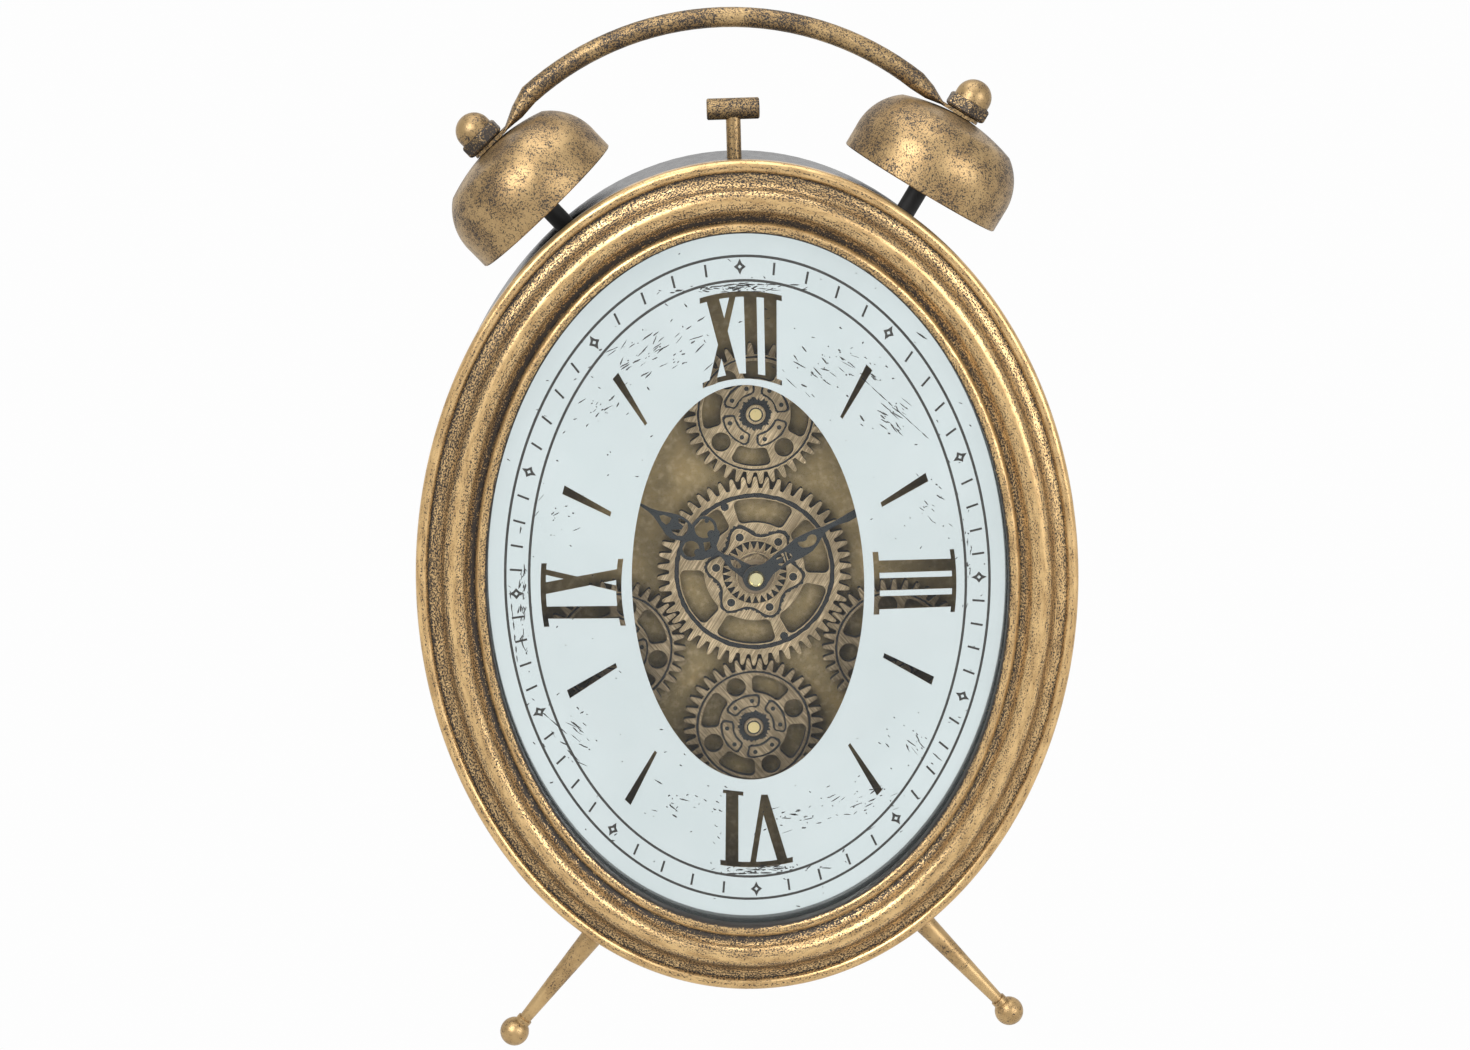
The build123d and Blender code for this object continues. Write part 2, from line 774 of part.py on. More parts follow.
def bell_plane(bell, height):
    """A plane square to a bell's axis, at a height above the bell's mouth."""
    seat_share, standoff, tilt = bell
    lean = math.radians(tilt)
    axis = Vector(math.sin(lean), 0, math.cos(lean))
    right, up = drum_point(seat_share)
    seat = Vector(right, glass_y + drum_middle_depth, dial_height + up)
    return Plane(origin=seat + axis * (standoff + height),
                 x_dir=(math.cos(lean), 0, -math.sin(lean)), z_dir=axis)


def bell_outline():
    """Half outline of the bell from its mouth to its crown, closed on the axis."""
    def at(share):
        return (share[0] * bell_radius, share[1] * bell_height)

    waist, shoulder = at((1.0, bell_skirt_share)), at(bell_side_shares[1])
    side = ThreePointArc(waist, at(bell_side_shares[0]), shoulder)
    cap = ThreePointArc(shoulder, at(bell_cap_shares[0]), at(bell_cap_shares[1]))
    wall = Polyline((0, bell_height), (0, 0), (bell_radius, 0), waist)
    return make_face(wall.edges() + side.edges() + cap.edges())


def bell_hollow():
    """Half outline of the space inside, a wall thickness smaller, with straight runs."""
    radius, height = bell_radius - bell_wall, bell_height - bell_wall
    slope = [(across * radius, up * height) for across, up in bell_hollow_shares]
    return make_face(Polyline((0, 0), (radius, 0), (radius, bell_skirt_share * height), *slope,
                              close=True))


def make_bell(bell):
    shell = revolve(Plane.XZ * bell_outline(), Axis.Z) - revolve(Plane.XZ * bell_hollow(), Axis.Z)
    shell -= Cylinder(stud_radius + stud_gap, 2 * bell_height + 2 * overrun)
    return bell_plane(bell, 0).location * shell


def make_stem(bell):
    """Black sleeve from the drum to the bell's crown, with a thinner stud up into the acorn nut."""
    shoulder = bell_height - bell_wall
    sleeve = extrude(bell_plane(bell, -bell_height) * Circle(stem_radius),
                     amount=bell_height + shoulder)
    drum = slab(oval(drum_half_width, drum_half_height), 0, case_back_depth)
    sleeve = (sleeve - drum).solids().sort_by(SortBy.VOLUME)[-1]
    length = bell_height + tab_thickness + stud_grip - shoulder
    return sleeve + extrude(bell_plane(bell, shoulder) * Circle(stud_radius), amount=length)


def make_acorn_nut(bell):
    base = bell_plane(bell, bell_height + stud_gap + tab_thickness + stud_gap)
    upwards = (Align.CENTER, Align.CENTER, Align.MIN)
    hexagon = RegularPolygon(nut_flats / 2, 6, major_radius=False)
    nut = extrude(Rot(0, 0, 30) * hexagon, amount=nut_hex_height)
    corners = Cone(nut_flats / 2 + nut_hex_height, nut_flats / 2, nut_hex_height, align=upwards)
    foot = Cylinder(nut_flats, nut_chamfer, align=upwards)
    nut = nut & (Pos(0, 0, nut_chamfer / 2) * corners + foot)
    neck = nut_hex_height + nut_neck_height
    nut += Cylinder(nut_dome_radius, neck, align=upwards)
    nut += Pos(0, 0, neck) * Sphere(nut_dome_radius)
    nut -= Cylinder(stud_radius + stud_gap, stud_grip + stud_gap, align=upwards)
    return base.location * nut


def tab_plane(bell):
    """The middle of the flat tab that lies on a bell's crown."""
    return bell_plane(bell, bell_height + stud_gap + tab_thickness / 2)


def bar_end(bell, point, bar_dir):
    """Pinched end of the bar: it flattens into a tab that lies on the bell under the acorn nut."""
    plane = tab_plane(bell)
    along = (plane.x_dir * plane.x_dir.dot(point - plane.origin)).normalized()
    round_plane = Plane(origin=point, x_dir=(0, 1, 0), z_dir=bar_dir)
    flat_plane = Plane(origin=plane.origin + along * tab_start, x_dir=(0, 1, 0), z_dir=along)
    middle_plane = Plane(origin=(flat_plane.origin + point) * 0.5, x_dir=(0, 1, 0),
                         z_dir=(bar_dir + along).normalized())
    middle = Ellipse((tab_width / 2 + bar_radius) / 2, bar_radius * pinch_share)
    pinch = loft([flat_plane * Ellipse(tab_width / 2, tab_thickness / 2), middle_plane * middle,
                  round_plane * Circle(bar_radius)], ruled=True)
    tongue = Pos(tab_start / 2, 0) * Rectangle(tab_start, tab_width) + Circle(tab_width / 2)
    tongue -= Circle(stud_radius + stud_gap)
    tab_face = Plane(origin=plane.origin, x_dir=along, z_dir=plane.z_dir)
    return pinch + extrude(tab_face * tongue, amount=tab_thickness / 2, both=True)


def make_handle(left_bell, right_bell):
    """Round bar bent to one arc over the bells, with both ends pinched to flat tabs."""
    left, right = tab_plane(left_bell), tab_plane(right_bell)
    start = left.origin + left.x_dir * left_end_inwards + left.z_dir * left_end_rise
    end = right.origin - right.x_dir * right_end_inwards + right.z_dir * right_end_rise
    top = Vector(bar_top_right, start.Y, dial_height + case_half_height + bar_rise - bar_radius)
    path = ThreePointArc(start, top, end).edge()
    first, last = path.tangent_at(0), path.tangent_at(1)
    bar = sweep(Plane(origin=start, z_dir=first) * Circle(bar_radius), path=Wire([path]))
    return bar + bar_end(left_bell, start, first) + bar_end(right_bell, end, last.reverse())


def knob_bar_height():
    return dial_height + drum_half_height + knob_standoff


def make_knob_stem():
    """Round stem from the drum's top to the bar, cut to the curve of both."""
    middle = glass_y + drum_middle_depth
    stem = rod((0, middle, dial_height), (0, middle, knob_bar_height()), knob_stem_radius)
    drum = slab(oval(drum_half_width, drum_half_height), 0, case_back_depth)
    bar = Rot(0, 90, 0) * Cylinder(knob_bar_radius, knob_bar_length)
    return stem - drum - Pos(0, middle, knob_bar_height()) * bar


def make_knob_bar():
    bar = Cylinder(knob_bar_radius, knob_bar_length)
    bar = chamfer(bar.edges().filter_by(GeomType.CIRCLE), knob_chamfer)
    return Pos(0, glass_y + drum_middle_depth, knob_bar_height()) * Rot(0, 90, 0) * bar


# Legs and feet

def front_leg_depth():
    return bezel_skirt_depth + leg_top_radius + leg_gap


def leg_seat(share, depth):
    """Where a leg's middle line meets the underside of the drum."""
    right, down = drum_point(share)
    return Vector(right, glass_y + depth, dial_height - down)


def foot_centre(right, depth):
    return Vector(right, glass_y + depth, foot_radius - foot_flat)


def make_leg(foot, seat):
    """Tapered leg cut to the drum at its top, with a small collar at the ball."""
    direction = (seat - foot).normalized()
    start = foot + direction * foot_radius * leg_seat_share
    leg = rod(start, seat + direction * leg_root, leg_bottom_radius, leg_top_radius)
    leg += rod(start, foot + direction * (foot_radius + leg_collar_length), leg_collar_radius)
    ball = Pos(*foot) * Sphere(foot_radius)
    drum = slab(oval(drum_half_width, drum_half_height), 0, 2 * case_back_depth)
    return (leg - ball - drum).solids().sort_by(SortBy.VOLUME)[-1]


def make_foot(centre):
    """Ball foot with a small flat where it stands."""
    ball = Pos(*centre) * Sphere(foot_radius)
    floor = Pos(centre.X, centre.Y, -foot_radius) * Box(3 * foot_radius, 3 * foot_radius,
                                                         2 * foot_radius)
    return ball - floor


def make_parts():
    left_seat = leg_seat(left_leg_seat_share, front_leg_depth())
    right_seat = leg_seat(right_leg_seat_share, front_leg_depth())
    rear_seat = leg_seat(0, case_back_depth - rear_leg_inset)
    left_foot = foot_centre(left_seat.X - left_foot_spread, front_leg_depth())
    right_foot = foot_centre(right_seat.X + right_foot_spread, front_leg_depth())
    rear_foot = foot_centre(0, rear_foot_depth)
    left_bell = (left_bell_seat_share, left_bell_standoff, left_bell_tilt)
    right_bell = (right_bell_seat_share, right_bell_standoff, right_bell_tilt)
    parts = {
        "case_drum": make_case_drum(),
        "case_lugs": make_case_lugs(),
        "bezel_ring": make_bezel_ring(),
        "front_glass": make_front_glass(),
        "mirror_layer": make_mirror_layer(),
        "spacer_ring": make_spacer_ring(),
        "base_plate": make_base_plate(),
        "plate_screws": make_plate_screws(),
        "centre_gear": make_centre_gear(),
        "star_plate": make_star_plate(),
        "inner_gear": make_inner_gear(),
        "gear_arbors": make_gear_arbors(),
        "drive_shaft": make_drive_shaft(),
        "movement_bushing": make_movement_bushing(),
        "movement_nut": at_gear(make_bushing_nut(), movement_right, movement_up),
        "gear_nut": make_gear_nut(),
        "hour_pipe": make_hour_pipe(),
        "minute_arbor": make_minute_arbor(),
        "hour_hand": make_hour_hand(),
        "minute_hand": make_minute_hand(),
        "hand_nut": make_hand_nut(),
        "movement_case": make_movement_case(),
        "clock_battery": make_clock_battery(),
        "time_set_wheel": make_time_set_wheel(),
        "drive_case": make_drive_case(),
        "drive_switch": make_drive_switch(),
        "drive_bushing": make_drive_bushing(),
        "drive_nut": at_gear(make_bushing_nut(), *drive_centre()),
        "drive_battery": make_drive_battery(),
        "battery_contacts": make_battery_contacts(),
        "rear_cover": make_rear_cover(),
        "rear_cover_screws": make_rear_cover_screws(),
        "left_bell": make_bell(left_bell),
        "right_bell": make_bell(right_bell),
        "left_bell_stem": make_stem(left_bell),
        "right_bell_stem": make_stem(right_bell),
        "left_acorn_nut": make_acorn_nut(left_bell),
        "right_acorn_nut": make_acorn_nut(right_bell),
        "handle": make_handle(left_bell, right_bell),
        "knob_stem": make_knob_stem(),
        "knob_bar": make_knob_bar(),
        "left_leg": make_leg(left_foot, left_seat),
        "right_leg": make_leg(right_foot, right_seat),
        "rear_leg": make_leg(rear_foot, rear_seat),
        "left_foot": make_foot(left_foot),
        "right_foot": make_foot(right_foot),
        "rear_foot": make_foot(rear_foot),
    }
    for name in outer_gear_angles:
        parts[name] = make_outer_gear(name)
    return parts


os.makedirs("parts", exist_ok=True)
for node, shape in make_parts().items():
    export_step(shape, f"parts/{node}.step")
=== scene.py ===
import json
import math
import random

import bpy
from mathutils import Matrix, Vector
from mathutils.geometry import delaunay_2d_cdt


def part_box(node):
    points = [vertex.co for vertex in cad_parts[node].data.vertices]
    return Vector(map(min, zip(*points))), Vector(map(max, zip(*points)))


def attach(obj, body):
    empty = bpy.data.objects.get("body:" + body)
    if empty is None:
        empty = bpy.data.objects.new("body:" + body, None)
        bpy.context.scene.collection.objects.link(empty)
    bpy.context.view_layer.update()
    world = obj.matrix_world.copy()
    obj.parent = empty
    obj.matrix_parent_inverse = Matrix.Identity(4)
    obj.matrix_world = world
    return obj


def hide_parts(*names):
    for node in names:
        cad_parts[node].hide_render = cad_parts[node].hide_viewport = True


MM = 0.001
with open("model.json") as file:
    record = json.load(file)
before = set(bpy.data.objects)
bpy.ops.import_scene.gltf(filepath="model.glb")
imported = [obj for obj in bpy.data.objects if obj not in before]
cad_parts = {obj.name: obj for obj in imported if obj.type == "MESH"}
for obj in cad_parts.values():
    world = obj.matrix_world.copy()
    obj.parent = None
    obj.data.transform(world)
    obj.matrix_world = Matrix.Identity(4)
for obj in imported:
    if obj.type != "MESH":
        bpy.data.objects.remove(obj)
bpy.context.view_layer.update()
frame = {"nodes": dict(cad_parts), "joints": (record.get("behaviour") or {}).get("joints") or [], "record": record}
random.seed(11)

# The dial's own frame: x to the right and y up in millimetres, depth behind the glass's face
glass_low, glass_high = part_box("front_glass")
DIAL = Vector((0, glass_low.y, (glass_low.z + glass_high.z) / 2))
AXES = {joint["child"]: joint["pos_m"] for joint in frame["joints"] if "pos_m" in joint}

# Sizes are in millimetres and degrees, if nothing else is said

# The print: half width and half height of its ovals, its marks and its depths
OPENING = (124, 167)
WINDOW = (52.8, 92.35)
TRACK_OUTER = (110.6, 150.9)
TRACK_INNER = (99.8, 140)
TRACK_LINE = 1.2
TICK_OVAL = (105.2, 145.5)
TICK_LENGTH = 5.6
TICK_WIDTH = 1
STAR_MARK = (3.6, 2.65)
STAR_MARK_WAIST = 0.54
STAR_MARK_CENTRE = 0.9
SILVER_FRONT = 3.05
SILVER_BACK = 3.9
# scratches lie this far in front of the silver's face, lines and marks this far behind it
SCRATCH_RISE = 0.02
LINE_DROP = 0.02
MARK_DROP = 0.3
LOOSE_SPECKS = 260
# angle, share of the track oval at the outer and inner end, and width at both ends
WEDGES = [(30, 0.83, 0.64, 3.7, 1.45), (60, 0.805, 0.6, 4, 2.2), (120, 0.82, 0.6, 4, 2.2),
          (150, 0.852, 0.65, 3.7, 1.45)]

# The moulding: half width and half height of the case, and how much dark wash it keeps
CASE = (150, 193)
BEZEL_SEGMENTS = 320
# distance in from the case's edge, and the wash there; the last stops darken the bead's inner wall with dark wash
# and painted shade, which the silver mirrors
WASH_STOPS = [(0, 0.06), (2.1, 0.08), (2.9, 0.62), (3.6, 0.08), (4.7, 0.22), (5.6, 1.1),
              (6.6, 0.72), (12.5, 0.68), (14.6, 0.68), (15.9, 0.12), (17.5, 0.1), (18.8, 0.46),
              (22, 0.56), (23.6, 0.78), (25, 1.2), (26.4, 1.3), (27.2, 0.1), (28.2, 0.25),
              (29.4, 0.55), (30.8, 0.45), (31.2, 0.9), (31.7, 1.7), (32, 1.9)]
# share of that wash all round, and the painted shade added towards the left, towards both ends and at the top
WASH_ROUND = 0.92
SHADE_WASH_LEFT = 0.17
SHADE_WASH_ENDS = 0.16
SHADE_WASH_TOP = 0.04

# Gears; a window or bracket is its inner and outer radius, its span and its corner radius
GEAR_FRONT = 22
GEAR_BACK = 26
MODULE = 1.72
TOOTH_TALL = 1
TOOTH_DEEP = 2.1
# share of the tooth's height, and half its width there as a share of a tooth's step
TOOTH_SHAPE = [(0, 0.39), (0.05, 0.33), (0.45, 0.245), (0.8, 0.175), (0.94, 0.12), (1, 0.05)]
MOVEMENT_TURN = -1.8
DARK_LAYER_LIFT = 0.03
WIDE_DARK_LAYER_LIFT = 0.04
CENTRE_TEETH = 50
CENTRE_BORE = 4.1
CENTRE_WINDOW = (23.2, 34.4, 49, 2.6)
CENTRE_WINDOW_TURN = 83 + MOVEMENT_TURN
CENTRE_GROOVE = (34.75, 36.6)
CENTRE_RIM = 0.7
CENTRE_RIVET = 1.9
CENTRE_RIVET_RING = 33.6
CENTRE_RIVET_ANGLES = (112.6, -67.4)
CENTRE_HUB = 7.3
CENTRE_HUB_BACK = 27.3
STAR_TURN = 113 + MOVEMENT_TURN
STAR_WAIST = 16.6
STAR_ARM = 5.4
STAR_SHARPNESS = 1.4
STAR_BORE = 14.7
STAR_LIP = 15.2
STAR_FRONT = 20.95
STAR_LIP_FRONT = 20.85
STAR_RIVET_RING = 17.9
STAR_RIVET = 1.9
STAR_RIVET_RIM = 2.3
INNER_TEETH = 26
# radius, and share of a tooth's step aside
INNER_TOOTH = [(11, -0.49), (11.6, -0.36), (14.6, -0.07), (14.6, 0.07), (11.6, 0.36)]
INNER_WAX = 14.9
INNER_FRONT = 20.2
INNER_HUB = 9.7
INNER_HUB_FRONT = 19.8
OUTER_TEETH = 36
OUTER_BORE = 2.75
OUTER_WINDOW = (16.1, 24.4, 46, 2.2)
OUTER_HOLE = 4.4
OUTER_HOLE_RING = 20.4
OUTER_GROOVE = (25.7, 26.45)
OUTER_RIM = 0.6
BRACKET = (9.95, 14.5, 66, 1.3)
BRACKET_SHADOW = (9.4, 15.1, 72, 1.6)
BRACKET_RISE = 0.8
BRACKET_RIVET = 1.05
BRACKET_RIVET_RING = 12.4
BRACKET_RIVET_ANGLE = 20
OUTER_HUB_WAX = 6.5
OUTER_HUB = 4.5
OUTER_HUB_RISE = 2.3
OUTER_HUB_CAP = 3.3
# body, direction from the middle wheel, turn of its windows
TOP_GEAR = ("top gear", 90, 85)
# the bottom, left and right gears get a darker copy of the bronze: painted shade
SHADED_GEARS = [("bottom gear", -90, 69), ("left gear", 209.5, 30), ("right gear", -29.5, 142)]

# Hands: where each points at rest, the depth of its front, and radii
HOUR_TURN = 90 + 55.5
HOUR_FRONT = 11.5
HOUR_COLLAR = 8.2
HOUR_BORE = 2.6
MINUTE_TURN = 90 - 57.5
MINUTE_FRONT = 9
HAND_THICKNESS = 0.8
HAND_NUT = 3.8

# Bells and cap nuts: how far to the right and up each bell's mouth is, and its lean to the right
BELLS = {"left": (-84.8, 171.6, -42), "right": (83.3, 174.7, 32)}
BELL_DEPTH = 33
BELL_RADIUS = 38.85
BELL_HEIGHT = 36.75
BELL_WALL = 1.5
BELL_HOLE = 4.1
# shares of the hollow's radius and height
BELL_HOLLOW = [(0.2, 1), (0.5, 0.945), (0.72, 0.855), (0.86, 0.72), (0.94, 0.58), (0.985, 0.4),
               (1, 0.25), (1, 0)]
NUT_FLATS = 18.2
NUT_HEIGHT = 6.7
NUT_SEAT = 1.7
DOME_RADIUS = 8.3

# Finishes on a gear's faces: their places in its list of materials; the dark one is wax and painted shade on the
# sides, the light one rubbed paint and painted highlight on the bevels
BARE = 0
WAX_AND_SHADE = 1
RUBBED_AND_LIT = 2

# Colours
GOLD = (0.262, 0.166, 0.072)
GOLD_LIGHT = (0.41, 0.28, 0.132)
GOLD_DARK = (0.026, 0.02, 0.016)
BRONZE = (0.37, 0.265, 0.145)
BRONZE_LIGHT = (0.7, 0.53, 0.335)
BRONZE_DARK = (0.03, 0.03, 0.034)
PLATE_BROWN = (0.37, 0.26, 0.11)
PLATE_DARK = (0.25, 0.18, 0.078)
PLATE_WARM = (0.42, 0.27, 0.1)
PLATE_SHADOW = (0.022, 0.02, 0.018)
SILVER = (0.83, 0.885, 0.9)
CELL_BLACK = (0.02, 0.02, 0.024)
CELL_COPPER = (0.55, 0.27, 0.1)
CELL_METAL = (0.6, 0.6, 0.6)
STUDIO_WHITE = (0.985, 0.985, 0.985)

# Depth of the fine relief, in metres
BUMP_DEPTH = 0.0003

# Gold wash: for specks, streaks and patches the stretch of the noise and its share
RING_WASH = [((950, 1400, 1), 0.66), ((190, 1100, 1), 0.24), ((75, 330, 1), 0.1)]
PART_WASH = [((1350, 1350, 1350), 0.54), ((330, 330, 560), 0.2), ((62, 62, 62), 0.26)]
# the noise's roughness, and the value below which it counts as nothing
WASH_GRAIN = [(0.74, 0.37), (0.6, 0.28), (0.6, 0.28)]

# Heights between which the bronze plate grows paler
PLATE_SHADE = (-95, 80)

# Two colours, metal and roughness of each plain finish, and for one its own grain and relief
PLAIN_LOOKS = {
    "bell_inside": ((0.01, 0.01, 0.011), (0.022, 0.02, 0.018), 0, 0.6),
    "dark_wax_and_shade": ((0.007, 0.009, 0.012), (0.02, 0.02, 0.021), 0, 0.75),
    "rubbed_and_lit_edge": ((0.52, 0.38, 0.22), (0.68, 0.52, 0.32), 0.4, 0.4),
    "dull_edge": ((0.2, 0.145, 0.085), (0.28, 0.2, 0.12), 0.3, 0.45),
    "hand_black": ((0.008, 0.011, 0.014), (0.018, 0.022, 0.026), 0, 0.5),
    "black_plastic": ((0.015, 0.015, 0.016), (0.03, 0.03, 0.031), 0, 0.45),
    "pale_brass": ((0.74, 0.64, 0.36), (0.84, 0.76, 0.48), 0.95, 0.16),
    "pin_brass": ((0.7, 0.54, 0.25), (0.8, 0.64, 0.33), 0.7, 0.32),
    "print_back": ((0.05, 0.055, 0.065), (0.08, 0.085, 0.09), 0, 0.5),
    "worn_print_and_shade": ((0.016, 0.016, 0.017), (0.05, 0.044, 0.036), 0, 0.6),
    "cover_board": ((0.012, 0.012, 0.013), (0.028, 0.028, 0.028), 0, 0.6, 160, 0.2),
}

# Wash, brightness and roughness of each gold, and shade and hatch angle in radians of each bronze; the darker
# bronze is painted shade on three gears
GOLD_LOOKS = {
    "antique_gold": (0.47, 1.03, 0.38),
    "antique_gold_ring": (None, 1.68, 0.28),
    "antique_gold_clean": (0.2, 1.25, 0.36),
    "antique_gold_worn": (0.36, 0.9, 0.38),
    "antique_gold_dark": (1.02, 1, 0.42),
    "antique_gold_streaked": (0.62, 1, 0.42),
    "antique_gold_knob": (0.72, 1, 0.42),
}
BRONZE_LOOKS = {"gear_bronze": (1, -1), "gear_bronze_dim": (0.72, 0.9)}

# Finishes of the slots whose name says something else, and of parts that differ from their slot
SLOT_LOOKS = {"brass": "pale_brass", "steel": "pin_brass"}
OWN_LOOKS = {"handle": "antique_gold_streaked", "knob_bar": "antique_gold_knob",
             "left_bell_stem": "bell_inside", "right_bell_stem": "bell_inside"}
for limb in ("left_leg", "right_leg", "rear_leg", "left_foot", "right_foot", "rear_foot"):
    OWN_LOOKS[limb] = "antique_gold_clean"

# Studio: the floor's sizes are metres, and it bends up into a wall behind the clock
FLOOR_SIZE = 6
BEND_START = 1.2
BEND_RADIUS = 0.8
BEND_STEPS = 8
# name, place from the dial's middle and size in metres, and power in watts of each lamp
LAMPS = [("key", (-0.9, -1.5, 1.2), 1.2, 34), ("fill", (1.3, -1.4, 0.5), 1.2, 20),
         ("top", (0, -0.1, 1.7), 1.4, 18)]
# azimuth, elevation and roll, the spot looked at in millimetres, and the distance in metres
VIEW_TURN = (-2, 12.8, 1.58)
VIEW_SPOT = (-5.38, 0, 29)
VIEW_DISTANCE = 1.307
# focal length and width of the sensor
LENS = 71
SENSOR = 36


# Shader helpers

def plug(tree, socket, value):
    """Links another socket or sets a plain value; a colour is three numbers."""
    if isinstance(value, bpy.types.NodeSocket):
        tree.links.new(value, socket)
    elif socket.type == "RGBA":
        socket.default_value = (*value, 1)
    else:
        socket.default_value = value


def add(tree, kind, inputs=None, **settings):
    """Adds a shader node; inputs are sockets to link or plain values."""
    made = tree.nodes.new("ShaderNode" + kind)
    for key, value in settings.items():
        setattr(made, key, value)
    for key, value in (inputs or {}).items():
        plug(tree, made.inputs[key], value)
    return made


def blend(tree, amount, first, second):
    return add(tree, "Mix", {0: amount, 6: first, 7: second}, data_type="RGBA").outputs[2]


def scaled(tree, value, share, shift=0):
    """The value times a share plus a shift."""
    made = add(tree, "Math", {0: value, 1: share, 2: shift}, operation="MULTIPLY_ADD")
    return made.outputs[0]


def shaded(colour, share):
    return tuple(part * share for part in colour)


def ramp(tree, value, low, high, start=0, end=1):
    """The value read as start below low and as end above high, softly between."""
    made = add(tree, "MapRange", {"Value": value, "From Min": low, "From Max": high,
                                  "To Min": start, "To Max": end}, interpolation_type="SMOOTHSTEP")
    return made.outputs[0]


def coordinates(tree, stretch=(1, 1, 1), source="Object"):
    place = add(tree, "TexCoord").outputs[source]
    return add(tree, "Mapping", {"Vector": place, "Scale": stretch}).outputs[0]


def noise(tree, coords, scale, detail, rough=0.55):
    made = add(tree, "TexNoise", {"Vector": coords, "Scale": scale, "Detail": detail,
                                  "Roughness": rough})
    return made.outputs[0]


def bump(tree, height, strength):
    made = add(tree, "Bump", {"Strength": strength, "Distance": BUMP_DEPTH, "Height": height})
    return made.outputs[0]


def openness(tree, distance, samples):
    """1 in the open, less where something stands closer than the distance in metres."""
    return add(tree, "AmbientOcclusion", {"Distance": distance}, samples=samples).outputs["AO"]


def new_material(name):
    material = bpy.data.materials.new(name)
    material.use_nodes = True
    return material, material.node_tree, material.node_tree.nodes["Principled BSDF"]


def feed(tree, shader, **values):
    """Sets the shader's own sockets; names use an underscore for a space."""
    for key, value in values.items():
        plug(tree, shader.inputs[key.replace("_", " ")], value)


# Materials

def antique_gold(name, wash, bright, rough):
    """Rubbed gold paint over black, darker where the wash is higher; without a wash of its own
    it runs along the moulding and reads the wash kept in its points, painted shade included."""
    material, tree, shader = new_material(name)
    if wash is None:
        layers, source, relief = RING_WASH, "UV", 0.03
        amount = add(tree, "Attribute", attribute_name="wash").outputs["Fac"]
    else:
        layers, source, relief = PART_WASH, "Object", 0.08
        amount = add(tree, "Value").outputs[0]
        amount.default_value = wash
    mixed = 0
    for (stretch, share), (roughness, low) in zip(layers, WASH_GRAIN):
        layer = noise(tree, coordinates(tree, stretch, source), 1, 4, roughness)
        layer = ramp(tree, layer, low, 1 - low)
        mixed = scaled(tree, layer, share, mixed)
    bare = ramp(tree, mixed, scaled(tree, amount, 0.52, 0.09), scaled(tree, amount, 0.52, 0.19))
    tone = blend(tree, layer, shaded(GOLD, bright), shaded(GOLD_LIGHT, bright))
    feed(tree, shader, Base_Color=blend(tree, bare, GOLD_DARK, tone),
         Metallic=ramp(tree, bare, 0, 1, 0.35, 0.74),
         Roughness=ramp(tree, bare, 0, 1, 0.55, rough), Normal=bump(tree, mixed, relief))
    return material


def black_paint():
    """Glossy black enamel with painted shade in its mirroring: it mirrors less where something stands close over
    it.
    """
    material, tree, shader = new_material("black_enamel")
    grain = noise(tree, coordinates(tree), 260, 2)
    near = openness(tree, 0.05, 8)
    feed(tree, shader, Base_Color=blend(tree, grain, (0.008, 0.009, 0.012), (0.016, 0.017, 0.02)),
         Roughness=ramp(tree, grain, 0.3, 0.7, 0.24, 0.3),
         Specular_IOR_Level=ramp(tree, near, 0.4, 0.8, 0, 0.66),
         Specular_Tint=(1, 0.92, 0.84), Normal=bump(tree, grain, 0.03))
    return material


def gear_bronze(name, shade, hatch_angle):
    """Bronze wash with fine rubbed hatching and dark wax left in the corners."""
    material, tree, shader = new_material(name)
    coords = add(tree, "TexCoord").outputs["Object"]
    turned = add(tree, "Mapping", {"Vector": coords, "Rotation": (0, hatch_angle, 0),
                                   "Scale": (0.02, 0.0025, 0.00045)}, vector_type="TEXTURE")
    hatch = noise(tree, turned.outputs[0], 1, 2, 0.5)
    cloud = noise(tree, coords, 110, 5, 0.6)
    fine = noise(tree, coords, 1100, 3, 0.6)
    corner = scaled(tree, openness(tree, 0.0035, 6), 1, -0.25)
    clean = ramp(tree, scaled(tree, fine, 0.5, corner), 0.36, 0.78)
    tone = blend(tree, ramp(tree, hatch, 0.4, 0.62), shaded(BRONZE, shade * 0.8),
                 shaded(BRONZE_LIGHT, shade))
    cloudy = ramp(tree, cloud, 0.34, 0.7, 0, 0.75)
    tone = blend(tree, cloudy, tone, shaded(BRONZE, shade * 0.55))
    feed(tree, shader, Base_Color=blend(tree, clean, BRONZE_DARK, tone), Metallic=0.35,
         Roughness=ramp(tree, fine, 0.3, 0.7, 0.42, 0.56), Normal=bump(tree, hatch, 0.06))
    return material


